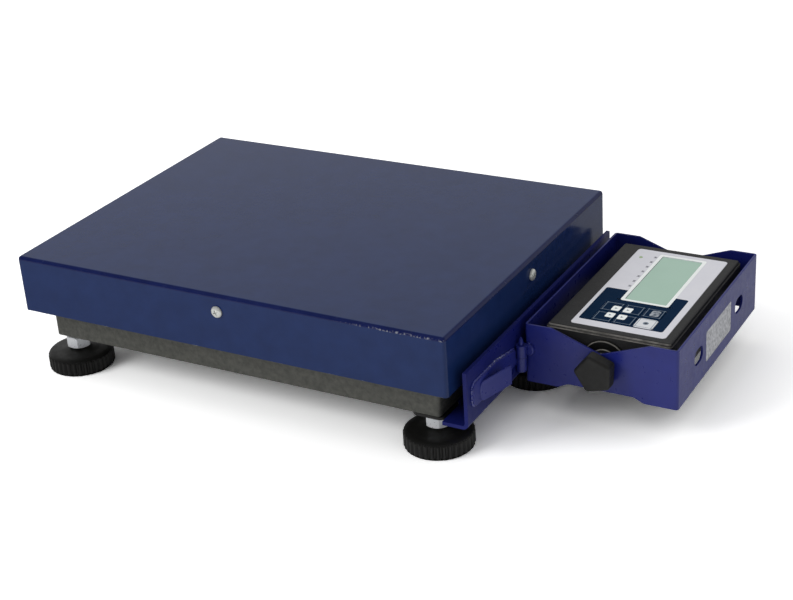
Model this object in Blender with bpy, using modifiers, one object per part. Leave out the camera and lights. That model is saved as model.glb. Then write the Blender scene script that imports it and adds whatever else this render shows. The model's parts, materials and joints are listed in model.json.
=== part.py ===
"""Platform shipping scale.

A folded steel pan rides on a single-point load cell inside a channel base on levelling feet.
A side bracket under the base carries, on a vertical hinge, a ring bracket in which the indicator tilts.
Units are metres. +X runs to the indicator, +Y to the back, +Z up. All pieces are placed from the
centre of the pan at floor level, and the root empty then moves that point so that the origin is the
centre of the footprint.
"""
import math

import bmesh
import bpy
from mathutils import Matrix, Vector

# Fits shared by all pieces
FIT_GAP = 0.0003
HOLE_CLEARANCE = 0.0003

# Weighing pan
PAN_LENGTH = 0.400
PAN_WIDTH = 0.300
PAN_TOP = 0.109
SKIRT_DEPTH = 0.0493
PAN_SHEET = 0.0015
PAN_BEND = 0.0035
PAN_SCREW_DROP = 0.0145
PAN_SCREW_RADIUS = 0.0022
PAN_SCREW_HEAD_RADIUS = 0.0048
PAN_SCREW_HEAD_HEIGHT = 0.0026
PAN_SCREW_LENGTH = 0.010

# Frame under the pan
FRAME_SIDE_GAP = 0.001
FRAME_SHEET = 0.0025
FRAME_DEPTH = 0.025
FRAME_BEND = 0.004
FRAME_RIM = 0.045
FRAME_SPINE_WIDTH = 0.080
FRAME_CROSS_WIDTH = 0.060
FRAME_WINDOW_RADIUS = 0.012
PAD_RADIUS = 0.015
PAD_THICKNESS = 0.0042

# Base
BASE_INSET = 0.0155
BASE_BOTTOM = 0.032
BASE_HEIGHT = 0.030
BASE_SHEET = 0.0025
BASE_BEND = 0.006
BASE_FLANGE = 0.032
BEAM_WIDTH = 0.050
BEAM_SHEET = 0.003
BEAM_BEND = 0.004
GLAND_Y = 0.060
GLAND_RADIUS = 0.0085
GLAND_THREAD_RADIUS = 0.006
GLAND_LENGTH = 0.014
GLAND_BORE_RADIUS = 0.003

# Load cell
CELL_LENGTH = 0.150
CELL_WIDTH = 0.040
CELL_HEIGHT = 0.025
CELL_END = 0.040
CELL_HOLE_RADIUS = 0.008
CELL_HOLE_OFFSET = 0.017
CELL_SLOT_HEIGHT = 0.006
CELL_BOLT_SPACING = 0.024
BOLT_RADIUS = 0.003
BOLT_HEAD_RADIUS = 0.0055
BOLT_HEAD_HEIGHT = 0.0038
BOLT_GRIP = 0.012

# Overload stops
STOP_INSET_X = 0.060
STOP_INSET_Y = 0.032
STOP_RADIUS = 0.004
STOP_NUT_RADIUS = 0.0075
STOP_NUT_HEIGHT = 0.006
STOP_TAIL = 0.008
STOP_TRAVEL = 0.0009

# Levelling feet
FOOT_WALL_GAP_X = 0.00195
FOOT_WALL_GAP_Y = 0.00685
DISC_RADIUS = 0.028
DISC_WALL = 0.0105
DISC_CHAMFER = 0.002
DISC_HUB_RADIUS = 0.0105
DISC_BOSS_RADIUS = 0.0165
DISC_HEIGHT = 0.0165
DISC_FLOOR = 0.005
DISC_RIB_DEPTH = 0.0009
DISC_SPOKES = 36
STUD_RADIUS = 0.00575
STUD_CHAMFER = 0.0012
SUPPORT_FOOT_Y = 0.007
SUPPORT_FOOT_PLATE_GAP = 0.008
SUPPORT_COLLAR_WALL = 0.0014
SUPPORT_COLLAR_HEIGHT = 0.007
SUPPORT_STUD_RISE = 0.012

# Side bracket
SIDE_GAP = 0.007
SIDE_SHEET = 0.003
SIDE_LENGTH = 0.277
SIDE_HEIGHT = 0.048
SIDE_BEND = 0.005
SIDE_FLANGE = 0.053
SIDE_TAB = 0.022
SIDE_NOTCH_MARGIN = 0.0135
SIDE_NOTCH_CORNER = 0.006

# Vertical hinge
HINGE_SPACE = 0.0055
KNUCKLE_RADIUS = 0.0042
KNUCKLE_HEIGHT = 0.0102
HINGE_BOTTOM = 0.0398
HINGE_SETBACK = 0.005
PIN_RADIUS = 0.0020
PIN_TIP = 0.005
PIN_HEAD_HEIGHT = 0.002
STRAP_LENGTH = 0.034
STRAP_BOTTOM = 0.0445
STRAP_HEIGHT = 0.0163
STRAP_SHEET = 0.0022
STRAP_LEAN = 0.0095
STRAP_REACH = 0.0335
STRAP_FOOT = 0.0105
STRAP_FOOT_SHEET = 0.0020
STRAP_FOOT_TOP = 0.0642
STRAP_SLOPE_START = 0.039
STRAP_SLOPE_DROP = 0.0058
STRAP_FOOT_CORNER = 0.005
STRAP_CORNER = 0.004
LEAF_LENGTH = 0.0155
LEAF_SHEET = 0.0022

# Indicator bracket
BRACKET_DEPTH = 0.125
BRACKET_WIDTH = 0.187
BRACKET_BOTTOM = 0.0265
BRACKET_HEIGHT = 0.050
BRACKET_SHEET = 0.002
BRACKET_BEND = 0.0025
VEE_WIDTH = 0.080
VEE_DEPTH = 0.0145
NOTCH_BOTTOM_WIDTH = 0.066
NOTCH_TOP_WIDTH = 0.050
NOTCH_HEIGHT = 0.005
END_SLOT_SPACING = 0.096
END_SLOT_LENGTH = 0.019
END_SLOT_HEIGHT = 0.013
END_SLOT_Z = 0.051

# Tilt pivot and knobs
PIVOT_Z = 0.051
PIVOT_STUD_RADIUS = 0.004
PIVOT_STUD_INSIDE = 0.010
PIVOT_DISC_RADIUS = 0.018
PIVOT_DISC_SHEET = 0.0026
PIVOT_BOSS_RADIUS = 0.0107
KNOB_SIDES = 5
KNOB_RADIUS = 0.0165
KNOB_CORNER = 0.003
KNOB_HEIGHT = 0.011
KNOB_CHAMFER = 0.0022
KNOB_HUB_RADIUS = 0.010
KNOB_HUB_HEIGHT = 0.0037
KNOB_CAP = 0.003
KNOB_TURN = math.radians(15.0)
HEAD_SIDES = 6
HEAD_RADIUS = 0.0098
HEAD_CORNER = 0.0008
HEAD_HEIGHT = 0.0064
HEAD_CHAMFER = 0.0008
HEAD_WASHER_RADIUS = 0.0092
HEAD_WASHER_HEIGHT = 0.0016
HEAD_CAP = 0.002

# Indicator
INDICATOR_WIDTH = 0.164
INDICATOR_DEPTH = 0.103
INDICATOR_SHIFT = 0.0015
INDICATOR_TOP = 0.0743
UPPER_HEIGHT = 0.0143
LOWER_BOTTOM = 0.031
LOWER_INSET = 0.003
LOWER_TAPER = 0.002
HOUSING_WALL = 0.0025
HOUSING_ROUND = 0.004
OVERLAY_DEPTH = 0.0775
OVERLAY_WIDTH = 0.147
OVERLAY_SHIFT = 0.0042
OVERLAY_SHEET = 0.0006
OVERLAY_RECESS = 0.0009
OVERLAY_CORNER = 0.003
WINDOW_DEPTH = 0.0345
WINDOW_WIDTH = 0.086
WINDOW_X = 0.00825
WINDOW_Y = 0.0225
LCD_BORDER = 0.003
LCD_HEIGHT = 0.005
BOARD_THICKNESS = 0.0016
BOARD_MARGIN = 0.004
KEY_SIZE = 0.0155
KEY_CORNER = 0.002
KEY_PITCH_X = 0.01715
KEY_PITCH_Y = 0.018
KEY_MIDDLE_X = 0.005
KEY_MIDDLE_Y = -0.0464
KEY_PROUD = 0.0004
KEY_TRAVEL = 0.0008
BATTERY_DEPTH = 0.045
BATTERY_WIDTH = 0.100
BATTERY_HEIGHT = 0.018

# Worked-out places
PAN_BOTTOM = PAN_TOP - SKIRT_DEPTH
FRAME_TOP = PAN_TOP - PAN_SHEET - PAD_THICKNESS - 2 * FIT_GAP
FRAME_UNDER = FRAME_TOP - FRAME_SHEET
FRAME_HALF_X = PAN_LENGTH / 2 - PAN_SHEET - FRAME_SIDE_GAP
FRAME_HALF_Y = PAN_WIDTH / 2 - PAN_SHEET - FRAME_SIDE_GAP
PAN_SCREW_Z = PAN_TOP - PAN_SCREW_DROP
BASE_HALF_X = PAN_LENGTH / 2 - BASE_INSET
BASE_HALF_Y = PAN_WIDTH / 2 - BASE_INSET
BASE_TOP = BASE_BOTTOM + BASE_HEIGHT
BASE_MIDDLE = BASE_BOTTOM + BASE_HEIGHT / 2
BEAM_TOP = BASE_TOP - BASE_SHEET - FIT_GAP
BEAM_BOTTOM = BASE_BOTTOM + BASE_SHEET + FIT_GAP
CELL_END_X = CELL_LENGTH / 2 - CELL_END / 2
SPACER_HEIGHT = (FRAME_UNDER - BEAM_TOP - CELL_HEIGHT - 4 * FIT_GAP) / 2
CELL_BOTTOM = BEAM_TOP + SPACER_HEIGHT + 2 * FIT_GAP
CELL_TOP = CELL_BOTTOM + CELL_HEIGHT
FOOT_X = BASE_HALF_X - BASE_SHEET - STUD_RADIUS - FOOT_WALL_GAP_X
FOOT_Y = BASE_HALF_Y - BASE_SHEET - STUD_RADIUS - FOOT_WALL_GAP_Y
SIDE_INNER_X = PAN_LENGTH / 2 + SIDE_GAP
SIDE_OUTER_X = SIDE_INNER_X + SIDE_SHEET
SIDE_FLANGE_TOP = BASE_BOTTOM - FIT_GAP
SIDE_BOTTOM = SIDE_FLANGE_TOP - SIDE_SHEET
SUPPORT_FOOT_X = SIDE_INNER_X - SUPPORT_FOOT_PLATE_GAP
BRACKET_X0 = SIDE_OUTER_X + HINGE_SPACE
BRACKET_X1 = BRACKET_X0 + BRACKET_DEPTH
BRACKET_Y1 = SIDE_LENGTH / 2
BRACKET_Y0 = BRACKET_Y1 - BRACKET_WIDTH
BRACKET_TOP = BRACKET_BOTTOM + BRACKET_HEIGHT
HINGE_X = SIDE_OUTER_X + FIT_GAP + KNUCKLE_RADIUS
HINGE_Y = BRACKET_Y0 - HINGE_SETBACK
HINGE_MIDDLE = HINGE_BOTTOM + KNUCKLE_HEIGHT
PIN_BORE_RADIUS = PIN_RADIUS + HOLE_CLEARANCE
PIVOT_X = BRACKET_X0 + BRACKET_DEPTH / 2
PIVOT_Y = (BRACKET_Y0 + BRACKET_Y1) / 2
PIVOT_BORE_RADIUS = PIVOT_STUD_RADIUS + HOLE_CLEARANCE
CHEEK_INNER = BRACKET_WIDTH / 2 - BRACKET_SHEET
CHEEK_OUTER = BRACKET_WIDTH / 2
KNOB_BACK = CHEEK_OUTER + FIT_GAP
HEAD_FRONT = KNOB_BACK + HEAD_WASHER_HEIGHT + HEAD_HEIGHT
UPPER_TOP = INDICATOR_TOP - PIVOT_Z
UPPER_BOTTOM = UPPER_TOP - UPPER_HEIGHT
UPPER_UNDER = UPPER_TOP - HOUSING_WALL
LOWER_TOP = UPPER_BOTTOM - FIT_GAP
LOWER_UNDER = LOWER_BOTTOM - PIVOT_Z
INDICATOR_LOW_X = INDICATOR_SHIFT - INDICATOR_DEPTH / 2
INDICATOR_HIGH_X = INDICATOR_SHIFT + INDICATOR_DEPTH / 2
INDICATOR_HALF_Y = INDICATOR_WIDTH / 2
OVERLAY_X = INDICATOR_SHIFT + OVERLAY_SHIFT
OVERLAY_FLOOR = UPPER_TOP - OVERLAY_RECESS
OVERLAY_TOP = OVERLAY_FLOOR + FIT_GAP + OVERLAY_SHEET
LCD_TOP = UPPER_UNDER - FIT_GAP
BOARD_TOP = LCD_TOP - LCD_HEIGHT - FIT_GAP
KEY_BOTTOM = BOARD_TOP + KEY_TRAVEL + FIT_GAP
STUD_TOP = BASE_TOP - BASE_SHEET - FIT_GAP
SCREW_PROUD = FIT_GAP + PAN_SCREW_HEAD_HEIGHT
ORIGIN_X = (BRACKET_X1 - PAN_LENGTH / 2 - SCREW_PROUD) / 2
ORIGIN_Y = (max(PIVOT_Y + HEAD_FRONT, PAN_WIDTH / 2 + SCREW_PROUD) - PAN_WIDTH / 2 - SCREW_PROUD) / 2

# Round-shape resolution
FINE_SIDES = 32
ROUND_SIDES = 20
BEND_STEPS = 3

for leftover in list(bpy.data.objects):
    bpy.data.objects.remove(leftover, do_unlink=True)

PARTS = bpy.data.collections.new("platform_shipping_scale")
CUTTERS = bpy.data.collections.new("cutters")
bpy.context.scene.collection.children.link(PARTS)
bpy.context.scene.collection.children.link(CUTTERS)


def make_material(name, colour, roughness, metallic=0.0):
    """A plain Principled finish."""
    material = bpy.data.materials.new(name)
    material.use_nodes = True
    shader = material.node_tree.nodes["Principled BSDF"]
    shader.inputs["Base Color"].default_value = (*colour, 1.0)
    shader.inputs["Roughness"].default_value = roughness
    shader.inputs["Metallic"].default_value = metallic
    return material


BLUE_PAINT = make_material("blue_paint", (0.020, 0.030, 0.120), 0.25)
GREY_PAINT = make_material("grey_hammered_paint", (0.07, 0.07, 0.065), 0.45)
BARE_STEEL = make_material("bare_steel", (0.45, 0.45, 0.44), 0.40, 1.0)
ZINC = make_material("zinc_plate", (0.62, 0.62, 0.62), 0.30, 1.0)
ALUMINIUM = make_material("aluminium", (0.70, 0.71, 0.72), 0.35, 1.0)
RUBBER = make_material("black_rubber", (0.012, 0.012, 0.012), 0.75)
BLACK_PLASTIC = make_material("black_plastic", (0.015, 0.015, 0.015), 0.45)
CHARCOAL = make_material("charcoal_plastic", (0.045, 0.045, 0.045), 0.50)
FOIL = make_material("light_grey_foil", (0.58, 0.58, 0.63), 0.35)
DISPLAY = make_material("green_display", (0.36, 0.52, 0.43), 0.25)
BOARD_GREEN = make_material("circuit_board", (0.02, 0.15, 0.05), 0.50)
KEY_WHITE = make_material("white_key", (0.75, 0.75, 0.76), 0.45)
KEY_NAVY = make_material("navy_key", (0.003, 0.020, 0.060), 0.45)


def add_empty(name, location, parent=None):
    """An empty that carries a group of pieces or marks a joint axis."""
    empty = bpy.data.objects.new(name, None)
    empty.location = location
    empty.parent = parent
    PARTS.objects.link(empty)
    return empty


def add_piece(name, bm, finish, parent, location=(0.0, 0.0, 0.0)):
    """Turns a bmesh into a named piece, smooth where its faces meet at a low angle."""
    mesh = bpy.data.meshes.new(name)
    bmesh.ops.recalc_face_normals(bm, faces=bm.faces)
    bm.to_mesh(mesh)
    bm.free()
    mesh.materials.append(finish)
    mesh.shade_smooth()
    mesh.set_sharp_from_angle(angle=math.radians(35.0))
    piece = bpy.data.objects.new(name, mesh)
    piece.location = location
    piece.parent = parent
    PARTS.objects.link(piece)
    return piece


def add_copy(name, source, parent, location, turn=0.0):
    """A repeat of a piece that shares its mesh."""
    piece = bpy.data.objects.new(name, source.data)
    piece.location = location
    piece.rotation_euler = (0.0, 0.0, turn)
    piece.parent = parent
    PARTS.objects.link(piece)
    return piece


def add_boolean(piece, bodies, operation, parent):
    """Cuts or joins a list of bmesh bodies with a piece."""
    for number, bm in enumerate(bodies):
        name = f"{piece.name}_{operation.lower()}_{len(piece.modifiers)}"
        mesh = bpy.data.meshes.new(name)
        bmesh.ops.recalc_face_normals(bm, faces=bm.faces)
        bm.to_mesh(mesh)
        bm.free()
        tool = bpy.data.objects.new(name, mesh)
        tool.parent = parent
        tool.hide_render = True
        tool.display_type = "WIRE"
        CUTTERS.objects.link(tool)
        modifier = piece.modifiers.new(f"{operation.lower()}_{number}", "BOOLEAN")
        modifier.operation = operation
        modifier.solver = "EXACT"
        modifier.object = tool


def settle(piece):
    """Fixes a piece's modifiers into its mesh, so that copies can share it."""
    depsgraph = bpy.context.evaluated_depsgraph_get()
    mesh = bpy.data.meshes.new_from_object(piece.evaluated_get(depsgraph))
    piece.modifiers.clear()
    piece.data = mesh
    return piece


def box(low, high):
    """A box between two corners."""
    bm = bmesh.new()
    bmesh.ops.create_cube(bm, size=1.0)
    low = Vector(low)
    high = Vector(high)
    bmesh.ops.scale(bm, vec=high - low, verts=bm.verts)
    bmesh.ops.translate(bm, vec=(low + high) / 2, verts=bm.verts)
    return bm


def rod(start, end, radius, sides=ROUND_SIDES, turn=0.0):
    """A round or many-sided bar between two points."""
    start = Vector(start)
    along = Vector(end) - start
    bm = bmesh.new()
    bmesh.ops.create_cone(bm, cap_ends=True, segments=sides, radius1=radius, radius2=radius, depth=along.length)
    spin = Matrix.Rotation(turn, 4, "Z")
    place = Matrix.Translation(start + along / 2) @ along.to_track_quat("Z", "Y").to_matrix().to_4x4()
    bmesh.ops.transform(bm, matrix=place @ spin, verts=bm.verts)
    return bm


def join(*bodies):
    """Puts separate bodies that don't touch into one bmesh, for use as one cutter."""
    whole = bmesh.new()
    for bm in bodies:
        mesh = bpy.data.meshes.new("joined")
        bm.to_mesh(mesh)
        bm.free()
        whole.from_mesh(mesh)
        bpy.data.meshes.remove(mesh)
    return whole


def arc(centre, radius, start, end, steps):
    """Points on an arc, from one angle to another."""
    points = []
    for step in range(steps + 1):
        angle = start + (end - start) * step / steps
        points.append((centre[0] + radius * math.cos(angle), centre[1] + radius * math.sin(angle)))
    return points


def rounded_rectangle(low, high, radius, steps=4):
    """A rectangle with round corners."""
    corners = (
        (high[0] - radius, high[1] - radius, 0.0),
        (low[0] + radius, high[1] - radius, 0.5 * math.pi),
        (low[0] + radius, low[1] + radius, math.pi),
        (high[0] - radius, low[1] + radius, 1.5 * math.pi),
    )
    points = []
    for x, y, start in corners:
        points += arc((x, y), radius, start, start + 0.5 * math.pi, steps)
    return points


PLANES = {
    "XY": Matrix.Identity(4),
    "XZ": Matrix(((1, 0, 0, 0), (0, 0, -1, 0), (0, 1, 0, 0), (0, 0, 0, 1))),
    "YZ": Matrix(((0, 0, 1, 0), (1, 0, 0, 0), (0, 1, 0, 0), (0, 0, 0, 1))),
}


def plate(loops, plane, low, high):
    """A flat outline with holes, made solid between two levels across its plane."""
    curve = bpy.data.curves.new("outline", "CURVE")
    curve.dimensions = "2D"
    curve.fill_mode = "BOTH"
    curve.extrude = (high - low) / 2
    for loop in loops:
        spline = curve.splines.new("POLY")
        spline.points.add(len(loop) - 1)
        for point, (a, b) in zip(spline.points, loop):
            point.co = (a, b, 0.0, 1.0)
        spline.use_cyclic_u = True
    holder = bpy.data.objects.new("outline", curve)
    CUTTERS.objects.link(holder)
    depsgraph = bpy.context.evaluated_depsgraph_get()
    mesh = bpy.data.meshes.new_from_object(holder.evaluated_get(depsgraph))
    bm = bmesh.new()
    bm.from_mesh(mesh)
    bmesh.ops.remove_doubles(bm, verts=bm.verts, dist=1e-7)
    middle = (low + high) / 2
    level = -middle if plane == "XZ" else middle
    bmesh.ops.transform(bm, matrix=PLANES[plane] @ Matrix.Translation((0.0, 0.0, level)), verts=bm.verts)
    bmesh.ops.recalc_face_normals(bm, faces=bm.faces)
    bpy.data.objects.remove(holder, do_unlink=True)
    bpy.data.curves.remove(curve)
    bpy.data.meshes.remove(mesh)
    return bm


def turned(profile, sides):
    """A turned solid about +Z from a profile that runs down its outer side."""
    mesh = bpy.data.meshes.new("profile")
    points = [(x, 0.0, z) for x, z in profile]
    mesh.from_pydata(points, [(i, i + 1) for i in range(len(points) - 1)], [])
    holder = bpy.data.objects.new("profile", mesh)
    CUTTERS.objects.link(holder)
    screw = holder.modifiers.new("turn", "SCREW")
    screw.steps = sides
    screw.render_steps = sides
    screw.use_merge_vertices = True
    screw.merge_threshold = 0.00001
    depsgraph = bpy.context.evaluated_depsgraph_get()
    result = bpy.data.meshes.new_from_object(holder.evaluated_get(depsgraph))
    bm = bmesh.new()
    bm.from_mesh(result)
    bmesh.ops.remove_doubles(bm, verts=bm.verts, dist=1e-6)
    bpy.data.objects.remove(holder, do_unlink=True)
    bpy.data.meshes.remove(mesh)
    bpy.data.meshes.remove(result)
    return bm


def faces_towards(bm, direction):
    """The faces that look along a direction."""
    bm.faces.ensure_lookup_table()
    bm.normal_update()
    return [face for face in bm.faces if face.normal.dot(Vector(direction)) > 0.99]


def open_side(bm, direction):
    """Takes away the faces on one side of a shell blank."""
    bmesh.ops.delete(bm, geom=faces_towards(bm, direction), context="FACES")


def round_edges(bm, radius, keep):
    """Rounds the edges whose two ends pass a test."""
    edges = [edge for edge in bm.edges if len(edge.link_faces) == 2 and keep(edge)]
    bmesh.ops.bevel(
        bm, geom=edges, offset=radius, segments=BEND_STEPS, profile=0.5, affect="EDGES", clamp_overlap=True
    )


def is_upright(edge):
    """True for an edge that runs mostly up and down."""
    along = edge.verts[0].co - edge.verts[1].co
    return abs(along.z) > 0.7 * along.length


def any_edge(edge):
    """True for every edge that joins two faces."""
    return len(edge.link_faces) == 2


def thicken(piece, sheet):
    """Gives a surface its sheet thickness, inwards."""
    solidify = piece.modifiers.new("sheet", "SOLIDIFY")
    solidify.thickness = sheet
    solidify.offset = -1.0
    solidify.use_even_offset = True
    return piece


def pan_screw_places():
    """Foot point, outward direction and turn of each pan screw, at the middle of each skirt."""
    half_x = PAN_LENGTH / 2
    half_y = PAN_WIDTH / 2
    return {
        "front": ((0.0, -half_y), (0.0, -1.0)),
        "right": ((half_x, 0.0), (1.0, 0.0)),
        "back": ((0.0, half_y), (0.0, 1.0)),
        "left": ((-half_x, 0.0), (-1.0, 0.0)),
    }


def skirt_hole(place, outward):
    """A cutter through the pan's skirt and the frame's flange at one screw."""
    reach = PAN_SCREW_LENGTH
    start = (place[0] + outward[0] * reach, place[1] + outward[1] * reach, PAN_SCREW_Z)
    end = (place[0] - outward[0] * reach, place[1] - outward[1] * reach, PAN_SCREW_Z)
    return rod(start, end, PAN_SCREW_RADIUS + HOLE_CLEARANCE, 12)


def build_pan(parent):
    """The folded pan, its four screws and the rubber pads that it rests on."""
    half_x = PAN_LENGTH / 2
    half_y = PAN_WIDTH / 2
    bm = box((-half_x, -half_y, PAN_BOTTOM), (half_x, half_y, PAN_TOP))
    open_side(bm, (0, 0, -1))
    round_edges(bm, PAN_BEND, any_edge)
    pan = thicken(add_piece("pan", bm, BLUE_PAINT, parent), PAN_SHEET)
    holes = [skirt_hole(*spot) for spot in pan_screw_places().values()]
    add_boolean(pan, [join(*holes)], "DIFFERENCE", parent)

    head = PAN_SCREW_HEAD_RADIUS
    profile = [
        (0.0, PAN_SCREW_HEAD_HEIGHT),
        (head * 0.55, PAN_SCREW_HEAD_HEIGHT * 0.96),
        (head * 0.9, PAN_SCREW_HEAD_HEIGHT * 0.65),
        (head, PAN_SCREW_HEAD_HEIGHT * 0.25),
        (head, 0.0),
        (PAN_SCREW_RADIUS, 0.0),
        (PAN_SCREW_RADIUS, -PAN_SCREW_LENGTH),
        (0.0, -PAN_SCREW_LENGTH),
    ]
    first = None
    for name, (place, outward) in pan_screw_places().items():
        seat = Vector((place[0] + outward[0] * FIT_GAP, place[1] + outward[1] * FIT_GAP, PAN_SCREW_Z))
        if first is None:
            first = add_piece(f"pan_screw_{name}", turned(profile, 16), ZINC, parent, seat)
            screw = first
        else:
            screw = add_copy(f"pan_screw_{name}", first, parent, seat)
        screw.rotation_euler = Vector((*outward, 0.0)).to_track_quat("Z", "Y").to_euler()


def build_upper_frame(parent):
    """The folded frame under the pan, with its windows, and the pads on its corners."""
    bm = box((-FRAME_HALF_X, -FRAME_HALF_Y, FRAME_TOP - FRAME_DEPTH), (FRAME_HALF_X, FRAME_HALF_Y, FRAME_TOP))
    open_side(bm, (0, 0, -1))
    round_edges(bm, FRAME_BEND, any_edge)
    frame = thicken(add_piece("upper_frame", bm, BARE_STEEL, parent), FRAME_SHEET)

    windows = []
    for side_x in (-1, 1):
        for side_y in (-1, 1):
            near = (side_x * FRAME_CROSS_WIDTH / 2, side_y * FRAME_SPINE_WIDTH / 2)
            far = (side_x * (FRAME_HALF_X - FRAME_RIM), side_y * (FRAME_HALF_Y - FRAME_RIM))
            low = (min(near[0], far[0]), min(near[1], far[1]))
            high = (max(near[0], far[0]), max(near[1], far[1]))
            outline = rounded_rectangle(low, high, FRAME_WINDOW_RADIUS)
            windows.append(plate([outline], "XY", FRAME_UNDER - FRAME_SHEET, FRAME_TOP + FRAME_SHEET))
    holes = [skirt_hole(*spot) for spot in pan_screw_places().values()]
    holes += bolt_holes(CELL_END_X, FRAME_UNDER - FRAME_SHEET, FRAME_TOP + FRAME_SHEET)
    add_boolean(frame, [join(*windows, *holes)], "DIFFERENCE", parent)

    pad_x = FRAME_HALF_X - FRAME_RIM / 2
    pad_y = FRAME_HALF_Y - FRAME_RIM / 2
    low = FRAME_TOP + FIT_GAP
    pad = rod((0, 0, 0), (0, 0, PAD_THICKNESS), PAD_RADIUS)
    first = None
    for row, side_y in (("front", -1), ("back", 1)):
        for column, side_x in (("left", -1), ("right", 1)):
            name = f"pan_pad_{row}_{column}"
            place = (side_x * pad_x, side_y * pad_y, low)
            if first is None:
                first = add_piece(name, pad, RUBBER, parent, place)
            else:
                add_copy(name, first, parent, place)


def bolt_holes(x, low, high):
    """Cutters for the pair of load cell bolts at one end."""
    bodies = []
    for side in (-1, 1):
        y = side * CELL_BOLT_SPACING / 2
        bodies.append(rod((x, y, low), (x, y, high), BOLT_RADIUS + HOLE_CLEARANCE, 12))
    return bodies


def cell_outline():
    """Side view of the load cell: a bar and its twin-hole cut-out."""
    half = CELL_LENGTH / 2
    outer = [(-half, CELL_BOTTOM), (half, CELL_BOTTOM), (half, CELL_TOP), (-half, CELL_TOP)]
    middle = (CELL_BOTTOM + CELL_TOP) / 2
    mouth = math.asin(CELL_SLOT_HEIGHT / 2 / CELL_HOLE_RADIUS)
    right = arc((CELL_HOLE_OFFSET, middle), CELL_HOLE_RADIUS, mouth - math.pi, math.pi - mouth, 18)
    left = arc((-CELL_HOLE_OFFSET, middle), CELL_HOLE_RADIUS, mouth, 2 * math.pi - mouth, 18)
    return [outer, right + left]


def build_load_cell(parent):
    """The single-point load cell with its spacers and bolts."""
    cell = add_piece("load_cell", plate(cell_outline(), "XZ", -CELL_WIDTH / 2, CELL_WIDTH / 2), ALUMINIUM, parent)
    low = CELL_BOTTOM - FIT_GAP
    high = CELL_TOP + FIT_GAP
    holes = bolt_holes(-CELL_END_X, low, high) + bolt_holes(CELL_END_X, low, high)
    add_boolean(cell, [join(*holes)], "DIFFERENCE", parent)

    spacers = {
        "cell_spacer_lower": (-CELL_END_X, BEAM_TOP + FIT_GAP),
        "cell_spacer_upper": (CELL_END_X, CELL_TOP + FIT_GAP),
    }
    for name, (x, bottom) in spacers.items():
        corner = (x - CELL_END / 2, -CELL_WIDTH / 2, bottom)
        opposite = (x + CELL_END / 2, CELL_WIDTH / 2, bottom + SPACER_HEIGHT)
        spacer = add_piece(name, box(corner, opposite), BARE_STEEL, parent)
        holes = bolt_holes(x, bottom - FIT_GAP, bottom + SPACER_HEIGHT + FIT_GAP)
        add_boolean(spacer, [join(*holes)], "DIFFERENCE", parent)

    length_lower = BEAM_SHEET + SPACER_HEIGHT + BOLT_GRIP
    length_upper = FRAME_SHEET + SPACER_HEIGHT + BOLT_GRIP
    seats = {
        "lower": (-CELL_END_X, BEAM_TOP - BEAM_SHEET - FIT_GAP, 1.0, length_lower),
        "upper": (CELL_END_X, FRAME_TOP + FIT_GAP, -1.0, length_upper),
    }
    for level, (x, seat, up, length) in seats.items():
        for row, side in (("front", -1), ("back", 1)):
            y = side * CELL_BOLT_SPACING / 2
            head_end = seat - up * BOLT_HEAD_HEIGHT
            head = rod((x, y, head_end), (x, y, seat), BOLT_HEAD_RADIUS, 6)
            bolt = add_piece(f"cell_bolt_{level}_{row}", head, ZINC, parent)
            shank = rod((x, y, seat - up * BOLT_HEAD_HEIGHT / 2), (x, y, seat + up * length), BOLT_RADIUS, 12)
            add_boolean(bolt, [shank], "UNION", parent)


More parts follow.
